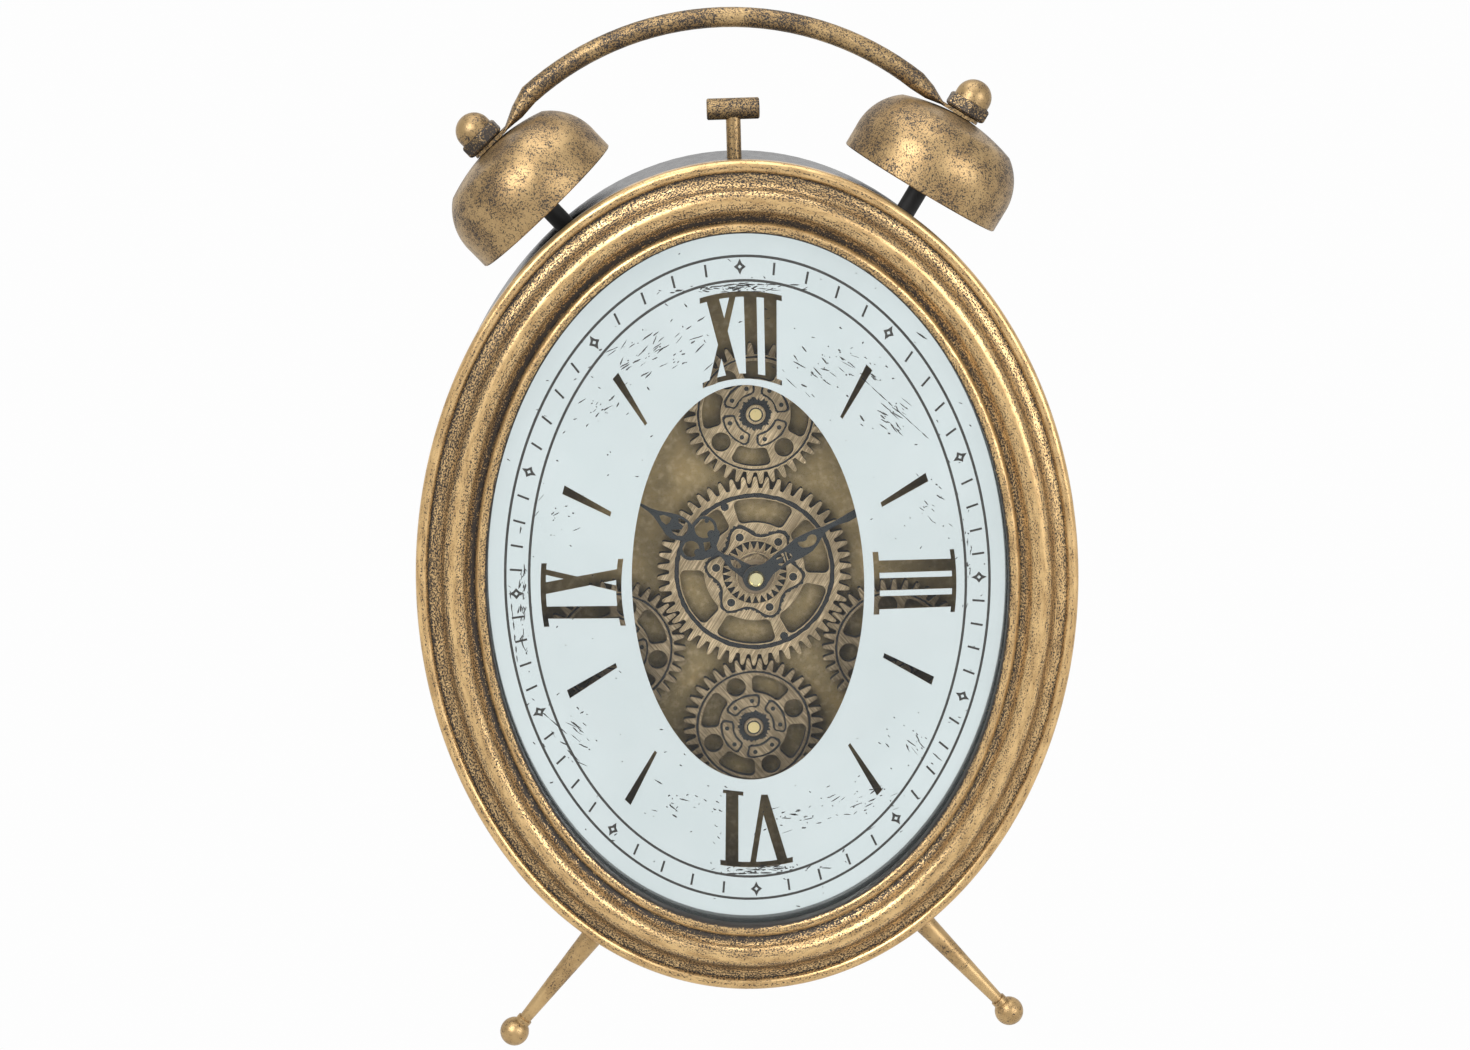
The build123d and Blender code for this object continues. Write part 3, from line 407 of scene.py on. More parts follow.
def plate_bronze():
    """Cloudy brown plate, paler up and darker down, with painted shadow at edges and corners."""
    material, tree, shader = new_material("plate_brown")
    coords = coordinates(tree)
    cloud = noise(tree, coords, 24, 5, 0.55)
    mottle = noise(tree, coords, 320, 4, 0.6)
    smudge = noise(tree, coords, 75, 6, 0.68)
    height = add(tree, "SeparateXYZ", {0: coords}).outputs["Z"]
    upper = ramp(tree, height, *[DIAL.z + shade * MM for shade in PLATE_SHADE])
    amount = scaled(tree, upper, 0.75, scaled(tree, cloud, 0.9, -0.45))
    colour = blend(tree, amount, PLATE_DARK, PLATE_BROWN)
    for layer, low, high, most, tone in ((smudge, 0.42, 0.72, 0.55, shaded(PLATE_DARK, 0.62)),
                                         (smudge, 0.5, 0.28, 0.45, PLATE_WARM),
                                         (mottle, 0.45, 0.75, 0.35, BRONZE_LIGHT)):
        colour = blend(tree, ramp(tree, layer, low, high, 0, most), colour, tone)
    shadow = ramp(tree, openness(tree, 0.0065, 6), 0.3, 0.86)
    feed(tree, shader, Base_Color=blend(tree, shadow, PLATE_SHADOW, colour), Metallic=0.2,
         Roughness=0.55, Normal=bump(tree, mottle, 0.08))
    return material


def silver_print():
    """Mirror silver in two very close tones."""
    material, tree, shader = new_material("silver_print")
    cloud = ramp(tree, noise(tree, coordinates(tree), 14, 3, 0.5), 0.35, 0.65)
    feed(tree, shader, Base_Color=blend(tree, cloud, SILVER, shaded(SILVER, 0.955)),
         Metallic=0.92, Roughness=0.1)
    return material


def clear_glass():
    """Clear pane: it lets light through and mirrors a little at grazing angles."""
    material, tree, shader = new_material("clear_pane")
    tree.nodes.remove(shader)
    smear = noise(tree, coordinates(tree), 40, 3)
    tint = blend(tree, smear, (0.965, 0.98, 0.978), (0.985, 0.992, 0.99))
    clear = add(tree, "BsdfTransparent", {"Color": tint}).outputs[0]
    gloss = add(tree, "BsdfGlossy", {"Color": (0.95, 0.95, 0.95), "Roughness": 0.02}).outputs[0]
    edge = scaled(tree, add(tree, "Fresnel", {"IOR": 1.45}).outputs[0], 0.45)
    mixed = add(tree, "MixShader", {0: edge, 1: clear, 2: gloss}).outputs[0]
    tree.links.new(mixed, tree.nodes["Material Output"].inputs["Surface"])
    return material


def plain(name):
    """A finish of the list that varies a little between two colours."""
    first, second, metallic, roughness, *surface = PLAIN_LOOKS[name]
    scale, relief = surface or (300, 0.08)
    material, tree, shader = new_material(name)
    grain = noise(tree, coordinates(tree), scale, 4, 0.6)
    feed(tree, shader, Base_Color=blend(tree, grain, first, second), Metallic=metallic,
         Roughness=ramp(tree, grain, 0.2, 0.8, roughness - 0.06, roughness + 0.06),
         Normal=bump(tree, grain, relief))
    return material


def cell_wrap():
    """Printed wrap of a round cell: dark body, copper band at one end and bare metal ends."""
    material, tree, shader = new_material("cell_wrap")
    place = add(tree, "TexCoord").outputs["Generated"]
    along = add(tree, "SeparateXYZ", {0: place}).outputs["X"]
    grain = noise(tree, coordinates(tree), 700, 3)
    colour = blend(tree, ramp(tree, along, 0.7, 0.71), CELL_BLACK, CELL_COPPER)
    colour = blend(tree, ramp(tree, along, 0.955, 0.96), colour, CELL_METAL)
    colour = blend(tree, ramp(tree, along, 0.025, 0.03), CELL_METAL, colour)
    feed(tree, shader, Base_Color=colour, Metallic=0.6,
         Roughness=ramp(tree, grain, 0.3, 0.7, 0.24, 0.34))
    return material


# Mesh helpers

def ring_points(half_width, half_height, count):
    points = []
    for i in range(count):
        turn = 2 * math.pi * i / count
        points.append(Vector((half_width * math.cos(turn), half_height * math.sin(turn))))
    return points


def circle(radius, count, centre=(0, 0)):
    return [Vector(centre) + point for point in ring_points(radius, radius, count)]


def polar(radius, angle):
    turn = math.radians(angle)
    return Vector((radius * math.cos(turn), radius * math.sin(turn)))


def spun(loop, angle):
    matrix = Matrix.Rotation(math.radians(angle), 2)
    return [matrix @ point for point in loop]


def at_depth(loop, depth):
    return [Vector((point.x, depth, point.y)) for point in loop]


def signed_area(loop):
    return sum(loop[i - 1].x * loop[i].y - loop[i].x * loop[i - 1].y for i in range(len(loop))) / 2


def offset_loop(loop, distance):
    """The loop moved to its left by a distance, corner by corner."""
    moved = []
    for i, here in enumerate(loop):
        first = (here - loop[i - 1]).normalized()
        second = (loop[(i + 1) % len(loop)] - here).normalized()
        left = Vector((-first.y, first.x)) + Vector((-second.y, second.x))
        stretch = max(1 + first.dot(second), 0.35)
        moved.append(here + left / stretch * distance)
    return moved


def arc_points(first, middle, last, count):
    """Points on the arc through three points, both ends included."""
    a, b, c = Vector(first), Vector(middle), Vector(last)
    d = 2 * (a.x * (b.y - c.y) + b.x * (c.y - a.y) + c.x * (a.y - b.y))
    x = (a.length_squared * (b.y - c.y) + b.length_squared * (c.y - a.y)
         + c.length_squared * (a.y - b.y)) / d
    y = (a.length_squared * (c.x - b.x) + b.length_squared * (a.x - c.x)
         + c.length_squared * (b.x - a.x)) / d
    centre = Vector((x, y))
    start, stop = a - centre, c - centre
    begin = math.atan2(start.y, start.x)
    sweep = math.atan2(start.x * stop.y - start.y * stop.x, start.dot(stop))
    turn = (b - a).x * (c - b).y - (b - a).y * (c - b).x
    if sweep * turn < 0:
        sweep += math.copysign(2 * math.pi, turn)
    return [centre + Vector((math.cos(begin + sweep * i / count), math.sin(begin + sweep * i / count)))
            * start.length for i in range(count + 1)]


def smooth_loop(points, steps):
    """A closed curve through the points."""
    curve = []
    count = len(points)
    for i in range(count):
        a, b = Vector(points[i - 1]), Vector(points[i])
        c, d = Vector(points[(i + 1) % count]), Vector(points[(i + 2) % count])
        for step in range(steps):
            t = step / steps
            curve.append(0.5 * (2 * b + (c - a) * t + (2 * a - 5 * b + 4 * c - d) * t * t
                                + (3 * b - a - 3 * c + d) * t ** 3))
    return curve


def ragged(loop, distance, fringe):
    """The loop moved outwards by a distance and a little more at random, like brushed wax."""
    loop = loop if signed_area(loop) > 0 else loop[::-1]
    moved = offset_loop(loop, -distance)
    away = offset_loop(loop, -distance - fringe)
    return [near.lerp(far, random.random()) for near, far in zip(moved, away)]


def triangles(loops):
    """Triangles over all the loops, and for each the numbers of the loops that it lies in."""
    flat, outlines = [], []
    for loop in loops:
        outlines.append(list(range(len(flat), len(flat) + len(loop))))
        flat += loop if signed_area(loop) > 0 else loop[::-1]
    points, _, faces, _, _, owners = delaunay_2d_cdt(flat, [], outlines, 0, 1e-6, True)
    return points, faces, owners


def linked(name, data):
    """An object with its data, put into the scene."""
    made = bpy.data.objects.new(name, data)
    bpy.context.scene.collection.objects.link(made)
    return made


class Piece:
    """A mesh built up from flat plates and turned shapes. Its points are x, depth, y."""

    def __init__(self, centre=(0, 0)):
        self.points = []
        self.faces = []
        self.kinds = []
        self.centre = centre

    def face(self, corners, kind):
        self.faces.append(corners)
        self.kinds.append(kind)

    def plate(self, loops, front, back, bevel, kind=0, edge=None, side=None):
        """A flat plate with holes and a bevelled front edge; the first loop is its outline."""
        edge = kind if edge is None else edge
        side = kind if side is None else side
        sides = []
        for i, loop in enumerate(loops):
            wanted = 1 if i == 0 else -1
            sides.append(loop if signed_area(loop) * wanted > 0 else loop[::-1])
        inner = [offset_loop(loop, bevel) for loop in sides]
        self.cap(inner, front, False, kind)
        self.cap(sides, back, True, kind)
        for top, full in zip(inner, sides):
            rim = at_depth(full, front + bevel)
            self.walls([at_depth(top, front), rim], edge)
            self.walls([rim, at_depth(full, back)], side)

    def dark_layer(self, loops, front, back):
        """A flat dark layer: dark wax, and painted shadow round the star plate and the brackets."""
        self.plate(loops, front, back, 0, WAX_AND_SHADE)

    def worn(self, loops, front, back, bevel):
        """A bronze plate with light bevels, rubbed paint and painted highlight, and dark sides, wax and painted
        shade.
        """
        self.plate(loops, front, back, bevel, BARE, RUBBED_AND_LIT, WAX_AND_SHADE)

    def cap(self, loops, depth, flip, kind):
        """A flat face over the first loop, open in the others."""
        points, faces, owners = triangles(loops)
        base = len(self.points)
        self.points += at_depth(points, depth)
        for corners, owner in zip(faces, owners):
            if list(owner) == [0]:
                corners = [base + corner for corner in corners]
                self.face(corners[::-1] if flip else corners, kind)

    def stencil(self, loops, keep, front, back, kinds):
        """A flat sheet cut by many loops; keep tells from the loops round a spot if it is solid."""
        points, faces, owners = triangles(loops)
        base, count = len(self.points), len(points)
        self.points += at_depth(points, front) + at_depth(points, back)
        edges = set()
        for corners, owner in zip(faces, owners):
            if not keep(set(owner)):
                continue
            corners = [base + corner for corner in corners]
            self.face(corners, kinds[0])
            self.face([corner + count for corner in reversed(corners)], kinds[1])
            for i, corner in enumerate(corners):
                if (corner, corners[i - 1]) in edges:
                    edges.remove((corner, corners[i - 1]))
                else:
                    edges.add((corners[i - 1], corner))
        for first, second in sorted(edges):
            self.face([second, first, first + count, second + count], kinds[2])

    def walls(self, rows, kind, inwards=False, closed=False):
        """Side faces between rings of equally many points; closed joins the last to the first."""
        base, count = len(self.points), len(rows[0])
        for row in rows:
            self.points += row
        starts = [base + row * count for row in range(len(rows))]
        if closed:
            starts.append(base)
        for a, b in zip(starts, starts[1:]):
            for i in range(count):
                j = (i + 1) % count
                corners = [a + i, b + i, b + j, a + j]
                self.face(corners[:1] + corners[:0:-1] if inwards else corners, kind)

    def turned(self, profile, segments, place, kind=0):
        """A shape turned about its own axis: the profile gives radius and height."""
        self.walls([[place @ Vector((*point, height)) for point in circle(radius, segments)]
                    for radius, height in profile], kind, True)

    def show(self, name, body, materials, hides, sharp):
        """Makes the object, gives it its finish and ties it to the body that it moves with."""
        mesh = bpy.data.meshes.new(name)
        mesh.from_pydata([point * MM for point in self.points], [], self.faces)
        for material in materials:
            mesh.materials.append(material)
        for polygon, kind in zip(mesh.polygons, self.kinds):
            polygon.material_index = kind
            polygon.use_smooth = True
        mesh.validate()
        mesh.set_sharp_from_angle(angle=math.radians(sharp))
        shown = linked(name, mesh)
        shown.location = DIAL + Vector((self.centre[0], 0, self.centre[1])) * MM
        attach(shown, body)
        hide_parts(*hides)
        return shown


def axis_centre(body):
    """Where a turning body's axis meets the dial, in dial millimetres."""
    place = AXES[body]
    return ((place[0] - DIAL.x) / MM, (place[2] - DIAL.z) / MM)


# Bezel

def bezel_profile():
    """Width inwards from the case's edge, height in front of the glass, round to the back."""
    outline = [(0, -3), (0, -1)]
    outline += arc_points((0, 1.8), (2.5, 4.2), (5, 3.2), 10)
    outline += [(5.6, 1.9)]
    outline += arc_points((5.7, 1.9), (9.5, 3), (12.6, 6.4), 8)
    outline += arc_points((12.6, 6.4), (17.3, 9.45), (22.2, 6.9), 14)[1:]
    outline += arc_points((22.2, 6.9), (24.2, 4.2), (26.6, 3), 7)[1:]
    outline += arc_points((26.7, 3.1), (29.3, 6), (32, 3.2), 10)
    outline += [(32, 0.05), (25.6, 0.05), (17.3, 7.6), (6.4, 0.5), (1.4, 0.5), (1.4, -3)]
    return [Vector(point) for point in outline]


def wash_at(inwards):
    """How much dark wash is left at a distance in from the case's edge."""
    for (left, low), (right, high) in zip(WASH_STOPS, WASH_STOPS[1:]):
        if inwards <= right:
            return low + (high - low) * (inwards - left) / (right - left)
    return WASH_STOPS[-1][1]


def wash_and_shade_share(turn):
    """How much of that wash is left in a direction, counted from the right, with painted shade added towards the
    left, both ends and the top.
    """
    ends = SHADE_WASH_ENDS * math.sin(turn) ** 2
    return WASH_ROUND - SHADE_WASH_LEFT * math.cos(turn) + ends + SHADE_WASH_TOP * math.sin(turn)


def running_length(points):
    """Distance from the first point to each of the others along the line through them."""
    lengths = [0]
    for before, after in zip(points, points[1:]):
        lengths.append(lengths[-1] + (after - before).length)
    return lengths


def make_bezel(material):
    """The moulding, laid out so that the wash runs along it and thins where it is rubbed; the wash also carries
    painted shade.
    """
    profile = bezel_profile()
    segments = BEZEL_SEGMENTS
    piece = Piece()
    rows = [at_depth(ring_points(CASE[0] - inwards, CASE[1] - inwards, segments), -rise)
            for inwards, rise in profile]
    piece.walls(rows, 0, True, True)
    around = running_length(rows[0] + rows[0][:1])
    across = running_length(profile)
    across.append(across[-1] + 1)
    layout = []
    for low, high in zip(across, across[1:]):
        for left, right in zip(around, around[1:]):
            layout.append([(left, low), (right, low), (right, high), (left, high)])
    shown = piece.show("bezel_moulding", "case", [material], ["bezel_ring"], 40)
    uv = shown.data.uv_layers.new(name="UVMap")
    for polygon, corners in zip(shown.data.polygons, layout):
        for loop, corner in zip(polygon.loop_indices, corners):
            uv.data[loop].uv = Vector(corner) * MM
    # each point keeps its wash, painted shade included
    wash = shown.data.attributes.new("wash", "FLOAT", "POINT")
    for row, point in enumerate(profile):
        for i in range(segments):
            share = wash_and_shade_share(2 * math.pi * i / segments)
            wash.data[row * segments + i].value = wash_at(point.x) * share


# Silver print behind the glass

def band(low, high, drop, left, right):
    """A band across a numeral, bowed like the dial: heights at its middle, drop at its ends."""
    middle, half, steps = (left + right) / 2, (right - left) / 2, 10
    across = [left + (right - left) * i / steps for i in range(steps + 1)]
    bow = [drop * ((x - middle) / half) ** 2 for x in across]
    upper = [Vector((x, high - dip)) for x, dip in zip(across, bow)]
    lower = [Vector((x, low - dip)) for x, dip in zip(across, bow)]
    return lower + upper[::-1]


def numerals():
    """Outlines of XII, III, VI and IX, each read with its top outwards, as (turn, outlines)."""
    twelve = [band(132.1, 134.6, 2.6, -18.2, 18.3), band(95.2, 97.6, 3.8, -18, 17.5),
              [(-15.3, 131), (-9.8, 132.3), (-1.4, 96.9), (-7.2, 95.8)],
              [(-4.8, 133), (-2, 133.2), (-12.1, 93.3), (-15.6, 92.2)],
              [(1.4, 133), (7.1, 133), (6.9, 96.4), (1.5, 96.5)],
              [(10.3, 132.6), (16, 131.6), (15.2, 93.6), (10.1, 95)]]
    three = [band(92.9, 94.9, 0.95, -13.5, 16), band(57.3, 59.9, 0.5, -13.5, 15.9),
             [(-9.4, 59), (-3.6, 59), (-3.4, 93.5), (-9.1, 93.4)],
             [(-1.1, 59), (4.7, 59), (4.8, 93.6), (-0.8, 93.6)],
             [(7.3, 59), (13.5, 58.8), (13.4, 93.2), (7.6, 93.4)]]
    six = [band(132.3, 134.9, 1.7, -17.3, 16.4),
           [(14.1, 96.6), (4.8, 98), (4.9, 100), (14.3, 98.2)],
           [(12.8, 97.8), (7.1, 98.8), (8, 133), (14.1, 132.4)],
           [(-15, 132.2), (-10.3, 133), (-4.2, 109.7), (0, 133.4), (2.7, 133.3),
            (-3.4, 99.7), (-6.4, 99.9)]]
    nine = [band(91.8, 94.2, 0.9, -16, 13.7), band(57.6, 60, 1.4, -16.8, 14.5),
            [(11.1, 92.2), (8.5, 92.4), (-0.7, 59.2), (2, 59.2)],
            [(4.7, 92.6), (-0.8, 92.6), (4.8, 59), (9.9, 58.4)],
            [(-6.5, 92.5), (-12.2, 92.2), (-13.3, 58.6), (-7.4, 59.2)]]
    return [(0, twelve), (90, three), (180, six), (270, nine)]


def oval_reach(oval, angle):
    """Distance from the middle to an oval in a true direction, clockwise from twelve."""
    turn = math.radians(angle)
    return 1 / math.hypot(math.sin(turn) / oval[0], math.cos(turn) / oval[1])


def clockwise(radius, angle, aside):
    """A point at a radius in a direction clockwise from twelve, moved aside to its right."""
    turn = math.radians(angle)
    return Vector((radius * math.sin(turn) + aside * math.cos(turn),
                   radius * math.cos(turn) - aside * math.sin(turn)))


def wedge_marks():
    marks = []
    for angle, outer, inner, wide, narrow in WEDGES:
        for side in (angle, 360 - angle):
            corners = []
            for share, aside in ((outer, wide / 2), (outer, -wide / 2), (inner, -narrow / 2),
                                 (inner, narrow / 2)):
                reach = oval_reach(TRACK_OUTER, side)
                turn = math.degrees(math.atan2(aside, reach * share))
                corners.append(clockwise(oval_reach(TRACK_OUTER, side + turn) * share, side, aside))
            marks.append(corners)
    return marks


def track_marks():
    """Minute ticks, and at each hour a small four-pointed star with a silver middle."""
    marks, middles = [], []
    for minute in range(60):
        angle = minute * 6
        reach = oval_reach(TICK_OVAL, angle)
        if minute % 5:
            marks.append([clockwise(reach + along * TICK_LENGTH / 2, angle, aside * TICK_WIDTH / 2)
                          for along, aside in ((-1, -1), (-1, 1), (1, 1), (1, -1))])
            continue
        along, across = STAR_MARK
        star, middle = [], []
        for corner in range(8):
            turn = math.radians(corner * 45)
            shrink = STAR_MARK_WAIST if corner % 2 else 1
            star.append(clockwise(reach + along * shrink * math.cos(turn), angle,
                                  across * shrink * math.sin(turn)))
            if corner % 2 == 0:
                middle.append(clockwise(reach + STAR_MARK_CENTRE * math.cos(turn), angle,
                                        STAR_MARK_CENTRE * math.sin(turn)))
        marks.append(star)
        middles.append(middle)
    return marks, middles


def sliver(centre, length, width, angle):
    """A thin ragged scratch."""
    along = Vector((math.cos(math.radians(angle)), math.sin(math.radians(angle))))
    across = Vector((-along.y, along.x))
    spots = [(-0.5, 0.1), (-0.2, 0.5), (0.15, 0.35), (0.5, 0.15), (0.5, -0.1), (0.2, -0.45),
             (-0.25, -0.4), (-0.5, -0.1)]
    return [Vector(centre) + along * length * (x + random.uniform(-0.05, 0.05))
            + across * width * (y + random.uniform(-0.2, 0.2)) for x, y in spots]


def inside_oval(point, oval, margin):
    return math.hypot(point.x / (oval[0] - margin), point.y / (oval[1] - margin)) < 1


def scratches():
    """Worn lines and specks in the print: bundles in some places and loose specks all over."""
    # middle of a bundle, its spread, the direction of its lines, how many, and their length
    bundles = [(-42, 108, 26, 12, 38, 58, 5), (-64, 84, 10, 8, 44, 19, 4),
               (42, 100, 26, 12, -38, 56, 5), (66, 76, 14, 8, -42, 30, 5),
               (0, 136, 26, 1.6, 3, 64, 4), (4, -136, 26, 1.6, 4, 61, 4),
               (-102, -6, 2.5, 26, 84, 47, 3.5), (-82, -70, 10, 12, -40, 25, 5),
               (46, -104, 26, 10, 22, 42, 4), (74, -76, 14, 12, -52, 22, 4.5),
               (20, -112, 16, 5, 8, 22, 4), (-38, -104, 22, 9, -24, 25, 4),
               (100, 6, 2.5, 26, 88, 28, 3), (-84, 34, 12, 20, 30, 16, 3),
               (86, 38, 10, 18, -34, 19, 3.5)]
    marks = []
    for x, y, wide, high, angle, count, length in bundles:
        for _ in range(count):
            centre = Vector((random.gauss(x, wide / 2), random.gauss(y, high / 2)))
            size = length * (0.12 + 1.2 * random.random() ** 2)
            marks.append(sliver(centre, size, random.uniform(0.25, 0.8), random.gauss(angle, 12)))
    for _ in range(LOOSE_SPECKS):
        centre = Vector((random.uniform(-112, 112), random.uniform(-155, 155)))
        marks.append(sliver(centre, random.uniform(0.5, 2), random.uniform(0.3, 0.7),
                            random.uniform(-60, 60)))
    # ends and width of each long line
    lines = [((-26.5, 117), (-15, 124.5), 0.7), ((53, 94), (84, 64), 0.45),
             ((-96, -56), (-84, -68), 0.6), ((-30, 135.6), (4, 138.2), 0.9),
             ((-4, 137.8), (26, 136.6), 0.6), ((-20, -137.5), (14, -138), 0.8),
             ((-108, 2), (-106, -34), 0.6)]
    for start, end, width in lines:
        start, end = Vector(start), Vector(end)
        turn = math.degrees(math.atan2(end.y - start.y, end.x - start.x))
        parts = max(int((end - start).length / 5), 2)
        for i in range(parts):
            at = start.lerp(end, (i + random.uniform(0.3, 0.7)) / parts)
            marks.append(sliver(at, random.uniform(3, 6.5), width, turn))
    kept = []
    for mark in marks:
        if all(inside_oval(point, OPENING, 1) and not inside_oval(point, WINDOW, -1.5)
               for point in mark):
            kept.append(mark)
    return kept


def make_silver(materials):
    """The print: silver everywhere but in the middle, the numerals, the marks and the scratches."""
    outlines = [ring_points(*OPENING, 260)]
    lines, clear, islands = set(), set(), set()
    tracks = [[ring_points(oval[0] - shift, oval[1] - shift, 240) for shift in (0, TRACK_LINE)]
              for oval in (TRACK_OUTER, TRACK_INNER)]
    marks, middles = track_marks()

    def put(loop, group):
        group.add(len(outlines))
        outlines.append(loop)

    put(ring_points(*WINDOW, 180), clear)
    for track in tracks:
        for loop in track:
            put(loop, lines)
    for turn, parts in numerals():
        for part in parts:
            put([clockwise(point[1], turn, point[0]) for point in part], clear)
    for mark in wedge_marks() + marks:
        put(mark, clear)
    for middle in middles:
        put(middle, islands)

    def silvered(owner):
        opened = owner & clear or len(owner & lines) % 2
        return 0 in owner and (not opened or bool(owner & islands))

    piece = Piece()
    # kinds of face: 0 silver, 1 the paint behind it, 2 worn print and painted shade, 3 the cut edges
    piece.stencil(outlines, silvered, SILVER_FRONT, SILVER_BACK, (0, 1, 3))
    for track in tracks:
        piece.cap(track, SILVER_FRONT + LINE_DROP, False, 2)
    # dark faces in the ticks and stars: painted shade where the plate behind them lies in shadow
    for mark in marks:
        piece.cap([mark], SILVER_FRONT + MARK_DROP, False, 2)
    for mark in scratches():
        base = len(piece.points)
        piece.points += at_depth(mark, SILVER_FRONT - SCRATCH_RISE)
        piece.face(list(range(base, base + len(mark))), 2)
    piece.show("silver_dial", "case", materials, ["mirror_layer"], 20)


# Gears

def gear_outline(teeth, first_tooth):
    """Outline of a gear whose teeth taper to rounded tips, with one tooth at a given angle."""
    tip = MODULE * (teeth / 2 + TOOTH_TALL)
    root = MODULE * (teeth / 2 - TOOTH_DEEP)
    step = 360 / teeth
    flanks = [(rise, -half) for rise, half in TOOTH_SHAPE] + TOOTH_SHAPE[::-1]
    points = []
    for i in range(teeth):
        for rise, aside in flanks:
            points.append(polar(root + (tip - root) * rise, first_tooth + (i + aside) * step))
    return points


def kidney(inner, outer, span, corner, angle):
    """A curved window with rounded corners, centred on an angle."""
    corner_steps, arc_steps = 5, 8
    points = []
    for number, (radius, side, inwards) in enumerate(((outer, 1, -corner), (outer, -1, -corner),
                                                      (inner, -1, corner), (inner, 1, corner))):
        # the corner's centre lies a corner radius inside both the arc and the straight side
        middle_radius = radius + inwards
        edge = side * (span / 2 - math.degrees(math.asin(corner / middle_radius)))
        centre = polar(middle_radius, edge)
        for i in range(corner_steps + 1):
            points.append(centre + polar(corner, edge + 90 - 90 * (number + i / corner_steps)))
        if number % 2 == 0:
            points += [polar(radius, edge * (1 - 2 * i / arc_steps)) for i in range(1, arc_steps)]
    return spun(points, angle)


def make_centre_gear(materials):
    """Wheel with a grooved rim, six windows, two rivets and a hub behind."""
    piece = Piece(axis_centre("centre gear"))
    teeth = gear_outline(CENTRE_TEETH, 90 + MOVEMENT_TURN)
    windows = [kidney(*CENTRE_WINDOW, CENTRE_WINDOW_TURN + 60 * i) for i in range(6)]
    bore = circle(CENTRE_BORE, 32)
    rim_back = GEAR_FRONT + CENTRE_RIM
    # the back layer: dark wax in the groove, and painted shade on the sides of the teeth and windows
    piece.plate([teeth, bore] + windows, rim_back - 0.1, GEAR_BACK, 0.1, WAX_AND_SHADE)
    groove = ragged(circle(CENTRE_GROOVE[1], 150), 0.1, 0.5)
    piece.worn([teeth, groove], GEAR_FRONT, rim_back, 0.15)
    inner = ragged(circle(CENTRE_GROOVE[0], 150), 0, 0.3)
    piece.worn([inner, bore] + windows, GEAR_FRONT, rim_back, 0.3)
    for angle in CENTRE_RIVET_ANGLES:
        rivet = circle(CENTRE_RIVET, 20, polar(CENTRE_RIVET_RING, angle))
        piece.dark_layer([rivet], GEAR_FRONT - DARK_LAYER_LIFT, GEAR_FRONT + 0.2)
    piece.plate([circle(CENTRE_HUB, 40), bore], GEAR_BACK, CENTRE_HUB_BACK, 0)
    piece.show("centre_gear_wheel", "centre gear", materials, ["centre_gear"], 30)


def make_star_plate(materials):
    """Six-armed wavy disc with a lip round its bore and a rivet on each arm."""
    piece = Piece(axis_centre("centre gear"))
    outline = []
    for angle in range(0, 360, 2):
        wave = (1 + math.cos(math.radians(6 * (angle - STAR_TURN)))) / 2
        outline.append(polar(STAR_WAIST + STAR_ARM * wave ** STAR_SHARPNESS, angle))
    bore = circle(STAR_BORE, 72)
    shadow = ragged(outline, 0.95, 1)
    # painted shadow round the star plate
    piece.dark_layer([shadow], GEAR_FRONT - WIDE_DARK_LAYER_LIFT, GEAR_FRONT + 0.3)
    piece.worn([outline, bore], STAR_FRONT, GEAR_FRONT, 0.3)
    piece.worn([circle(STAR_LIP, 72), bore], STAR_LIP_FRONT, STAR_FRONT + 0.25, 0.12)
    for i in range(6):
        spot = polar(STAR_RIVET_RING, STAR_TURN + 60 * i)
        back = STAR_FRONT + 0.05
        piece.plate([circle(STAR_RIVET_RIM, 20, spot)], STAR_FRONT - 0.05, back, 0, RUBBED_AND_LIT)
        piece.dark_layer([circle(STAR_RIVET, 20, spot)], STAR_FRONT - 0.09, back)
    piece.show("star_disc", "centre gear", materials, ["star_plate"], 30)


def make_inner_gear(materials):
    """Small toothed wheel with a raised hub inside the star plate."""
    piece = Piece(axis_centre("centre gear"))
    step = 360 / INNER_TEETH
    teeth = [polar(radius, STAR_TURN + (i + aside) * step)
             for i in range(INNER_TEETH) for radius, aside in INNER_TOOTH]
    bore = circle(CENTRE_BORE, 32)
    back = GEAR_FRONT - 0.06
    piece.dark_layer([circle(INNER_WAX, 72), bore], back, GEAR_FRONT + 0.1)
    piece.worn([teeth, bore], INNER_FRONT, back, 0.2)
    piece.worn([circle(INNER_HUB, 48), bore], INNER_HUB_FRONT, INNER_FRONT + 0.1, 0.3)
    piece.show("inner_wheel", "centre gear", materials, ["inner_gear"], 30)


def mesh_turn(direction):
    """Angle of one tooth of an outer gear that meshes with the centre gear at rest."""
    step = 360 / CENTRE_TEETH
    ahead = ((90 - direction) / step) % 1
    return direction + 180 - (ahead + 0.5) * 360 / OUTER_TEETH


